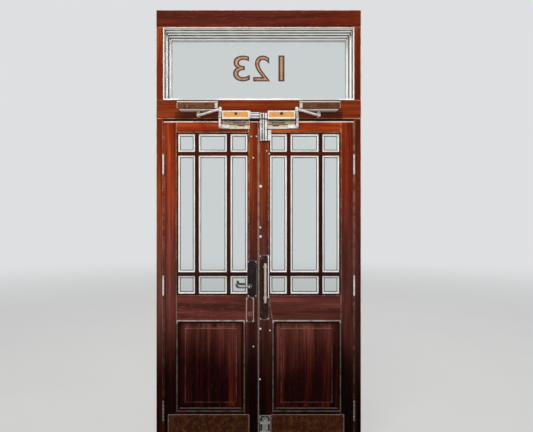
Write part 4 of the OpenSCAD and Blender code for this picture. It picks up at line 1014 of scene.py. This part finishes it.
def furnitureFixings():
    for name, (body, plates, facings) in screwSets.items():
        bm = bmesh.new()
        for plate in plates:
            for facing in facings:
                plateScrews(bm, fixings[plate], facing)
        makePiece(name, bm, "satinSteel", body)
    bm = bmesh.new()
    step = fixings["threshold"]
    for index, x in enumerate(step["x"]):
        slottedScrew(bm, (x, step["y"], step["z"]), "up", step["radius"], turn=1.7 * index)
    makePiece("thresholdScrews", bm, "satinSteel", "frame")


# Domed studs and stray screw heads up the meeting stiles, in a pale finish that paints glints on
# them: x, z, radius
studs = {
    "left_leaf": ((-0.034, 0.689, 0.005), (-0.047, 2.044, 0.0045), (-0.014, 2.044, 0.0045),
                  (-0.035, 1.906, 0.005)),
    "right_leaf": ((0.0105, 0.803, 0.0075), (0.073, 0.792, 0.005), (0.0085, 0.477, 0.006),
                   (0.0685, 1.933, 0.0045), (0.0525, 1.951, 0.0045), (0.0125, 1.722, 0.0095),
                   (0.0105, 1.457, 0.006), (0.0120, 1.398, 0.0085)),
}


def meetingStuds():
    for body, places in studs.items():
        bm = bmesh.new()
        for x, z, radius in places:
            domedHead(bm, (x, 0.0, z), "room", radius)
        makePiece(body.split("_")[0] + "Studs", bm, "armSteel", body)


# A raised frame that slopes down to the glass
def paneFrame(bm, x0, x1, z0, z1, y, part, facing):
    width, proud = part["width"], part["proud"]
    halfX, halfZ = (x1 - x0) / 2 - part["start"], (z1 - z0) / 2 - part["start"]
    ring = bmesh.new()
    bmesh.ops.create_grid(ring, x_segments=1, y_segments=1, size=1.0)
    bmesh.ops.scale(ring, vec=(halfX, halfZ, 1), verts=ring.verts)
    rim = bmesh.ops.inset_region(ring, faces=ring.faces[:], thickness=width, use_boundary=True,
                                 use_even_offset=True)["faces"]
    bmesh.ops.delete(ring, geom=[face for face in ring.faces if face not in rim], context="FACES")
    raised = bmesh.ops.extrude_face_region(ring, geom=ring.faces[:])["geom"]
    lifted = [v for v in raised if isinstance(v, bmesh.types.BMVert)]
    bmesh.ops.translate(ring, vec=(0, 0, proud), verts=lifted)
    inner = [v for v in lifted
             if abs(v.co.x) < halfX - width / 2 and abs(v.co.y) < halfZ - width / 2]
    bmesh.ops.translate(ring, vec=(0, 0, -putty["slope"] * proud), verts=inner)
    putIn(bm, ring, facingMatrix(((x0 + x1) / 2, y, (z0 + z1) / 2), facing))


def glazingPutty():
    for side, sign in (("left", 1), ("right", -1)):
        for key, y, facing in (("line", putty["insideY"], "room"),
                               ("seal", putty["insideY"], "room"),
                               ("wedge", putty["outsideY"], "street")):
            bm = bmesh.new()
            for xa, xb in putty["columns"]:
                for z0, z1 in putty["rows"]:
                    x0, x1 = sorted((sign * xa, sign * xb))
                    paneFrame(bm, x0, x1, z0, z1, y, putty[key], facing)
            makePiece(side + "Putty" + key.capitalize(), bm, putty[key]["finish"], side + "_leaf",
                      smooth=False)


# Pile seal up the gap between the leaves, on the right leaf's edge
seal = {"x": (-0.0018, 0.0025), "y": (0.026, 0.034), "z": (0.022, 2.148), "round": 0.0016}


def pileSeal():
    bm = bmesh.new()
    bmesh.ops.create_cube(bm, size=1.0)
    bmesh.ops.scale(bm, vec=[seal[axis][1] - seal[axis][0] for axis in "xyz"], verts=bm.verts)
    tips = [edge for edge in bm.edges if abs(edge.verts[0].co.z - edge.verts[1].co.z) > 1
            and edge.verts[0].co.x < 0]
    bmesh.ops.bevel(bm, geom=tips, offset=seal["round"], segments=3, affect="EDGES", profile=0.5,
                    material=-1)
    bmesh.ops.translate(bm, vec=[sum(seal[axis]) / 2 for axis in "xyz"], verts=bm.verts)
    makePiece("meetingSeal", bm, "pileBrush", "right_leaf")


# House numerals in gold leaf with a brown outline, on the room side of the transom glass
numerals = {
    "text": "123",
    "height": 0.168,
    "pitch": 0.1355,
    "digitWidth": 0.105,
    "middle": (0.018, 2.531),
    "glassY": 0.148,
    "lift": 0.00045,
    "extrude": 0.002,
    "widest": 1.3,
    "layers": {"numeralOutline": {"spread": 0.016, "finish": "outlineBrown",
                                  "slot": "leaf_timber", "depth": 0.0003},
               "numeralGold": {"spread": -0.024, "finish": "goldLeaf",
                               "slot": "gold_bracket", "depth": 0.0007}},
}


def numeralMesh(digit, spread):
    curve = bpy.data.curves.new("digit", "FONT")
    curve.body = digit
    curve.offset = spread
    curve.extrude = numerals["extrude"]
    holder = bpy.data.objects.new("digit", curve)
    bpy.context.scene.collection.objects.link(holder)
    graph = bpy.context.evaluated_depsgraph_get()
    mesh = bpy.data.meshes.new_from_object(holder.evaluated_get(graph))
    bpy.data.objects.remove(holder)
    return mesh


# Both layers are scaled by the plain digit, so that the outline stays round it
def numeralPiece(name, layer):
    bm = bmesh.new()
    for index, digit in enumerate(numerals["text"]):
        plain = numeralMesh(digit, 0.0)
        xs = [v.co.x for v in plain.vertices]
        ys = [v.co.y for v in plain.vertices]
        scale = numerals["height"] / (max(ys) - min(ys))
        widen = min(numerals["widest"], numerals["digitWidth"] / ((max(xs) - min(xs)) * scale))
        part = bmesh.new()
        part.from_mesh(numeralMesh(digit, layer["spread"]))
        bmesh.ops.remove_doubles(part, verts=part.verts, dist=0.00001)
        bmesh.ops.translate(part, vec=(-(max(xs) + min(xs)) / 2, -(max(ys) + min(ys)) / 2, 0),
                            verts=part.verts)
        depth = layer["depth"] / (2 * numerals["extrude"])
        bmesh.ops.scale(part, vec=(-scale * widen, scale, depth), verts=part.verts)
        offset = (1 - index) * numerals["pitch"]  # mirrored: it reads rightly from the street
        place = (numerals["middle"][0] + offset, numerals["glassY"] - numerals["lift"],
                 numerals["middle"][1])
        putIn(bm, part, facingMatrix(place, "room"))
    makePiece(name, bm, layer["finish"], "frame", smooth=False)


leafFixings()
furnitureFixings()
meetingStuds()
glazingPutty()
pileSeal()
for name, layer in numerals["layers"].items():
    numeralPiece(name, layer)
print("putty, numerals, screws and studs made")


# Floor, world and lamps
studio = {
    "floorColour": (0.70, 0.69, 0.67),
    "floorTint": (0.5, 0.49, 0.47),
    "floorSize": 80.0,
    "floorSeenNear": 0.45,
    "floorFade": (3.0, 15.0),
    "worldColour": (0.94, 0.95, 0.96),
    "worldLevel": 0.40,
    "backdropLevel": 0.78,
    "lamps": {
        "roomLamp": {"place": (-0.7, -3.6, 5.7), "aim": (0, 0, 1.6), "size": (3.0, 1.2),
                     "power": 158, "colour": (1.0, 0.97, 0.93)},
        "lowLamp": {"place": (0.0, -3.7, 0.35), "aim": (0, 0, 2.75), "size": (3.2, 0.5),
                    "power": 16, "mirrored": False, "spread": 66},
        "streetLamp": {"place": (1.0, 4.2, 5.9), "aim": (0, 0, 1.6), "size": (3.0, 1.5),
                       "power": 140},
    },
}


def seenByEye(tree):
    path = addNode(tree, "LightPath").outputs
    return calc(tree, "MAXIMUM", path["Is Camera Ray"],
                calc(tree, "MAXIMUM", path["Is Transmission Ray"], path["Is Glossy Ray"]))


def makeFloor():
    bm = bmesh.new()
    bmesh.ops.create_grid(bm, x_segments=1, y_segments=1, size=studio["floorSize"] / 2)
    mesh = bpy.data.meshes.new("floor")
    bm.to_mesh(mesh)
    bm.free()
    floor = bpy.data.objects.new("floor", mesh)
    bpy.context.scene.collection.objects.link(floor)
    material, tree, shader, place = newMaterial("floorPale", Roughness=0.85)
    tint = patchesOf(tree, place, 1.3, (0.3, 0.7, 0.0, 0.12), 4.0)
    colour = blend(tree, tint, rgba(studio["floorColour"]), rgba(studio["floorTint"]))
    tree.links.new(colour, shader.inputs["Base Color"])
    glow = addNode(tree, "Emission", {"Color": rgba(studio["worldColour"]),
                                      "Strength": studio["backdropLevel"]})
    away = addNode(tree, "VectorMath", {0: place}, operation="LENGTH").outputs["Value"]
    fade = remap(tree, away, *studio["floorFade"], studio["floorSeenNear"], 1.0)
    mixed = addNode(tree, "MixShader", {0: times(tree, seenByEye(tree), fade),
                                        1: shader.outputs[0], 2: glow.outputs[0]})
    tree.links.new(mixed.outputs[0], tree.nodes["Material Output"].inputs["Surface"])
    mesh.materials.append(material)


def makeWorld():
    world = bpy.data.worlds.new("studio")
    world.use_nodes = True
    tree = world.node_tree
    back = tree.nodes["Background"]
    level = addNode(tree, "MapRange", {"Value": seenByEye(tree), "To Min": studio["worldLevel"],
                                       "To Max": studio["backdropLevel"]})
    back.inputs["Color"].default_value = rgba(studio["worldColour"])
    tree.links.new(level.outputs["Result"], back.inputs["Strength"])
    bpy.context.scene.world = world


def makeLamp(name, place, aim, size, power, colour=(1, 1, 1), mirrored=True, spread=180):
    data = bpy.data.lights.new(name, "AREA")
    data.shape = "RECTANGLE"
    data.size, data.size_y = size
    data.energy = power
    data.color = colour
    data.spread = math.radians(spread)
    lamp = bpy.data.objects.new(name, data)
    lamp.location = place
    lamp.rotation_euler = (Vector(aim) - Vector(place)).to_track_quat("-Z", "Y").to_euler()
    lamp.visible_camera = lamp.visible_transmission = False
    lamp.visible_glossy = mirrored
    bpy.context.scene.collection.objects.link(lamp)


makeFloor()
makeWorld()
for name, lamp in studio["lamps"].items():
    makeLamp(name, **lamp)
bpy.context.scene.view_settings.view_transform = "Standard"
print("studio ready")
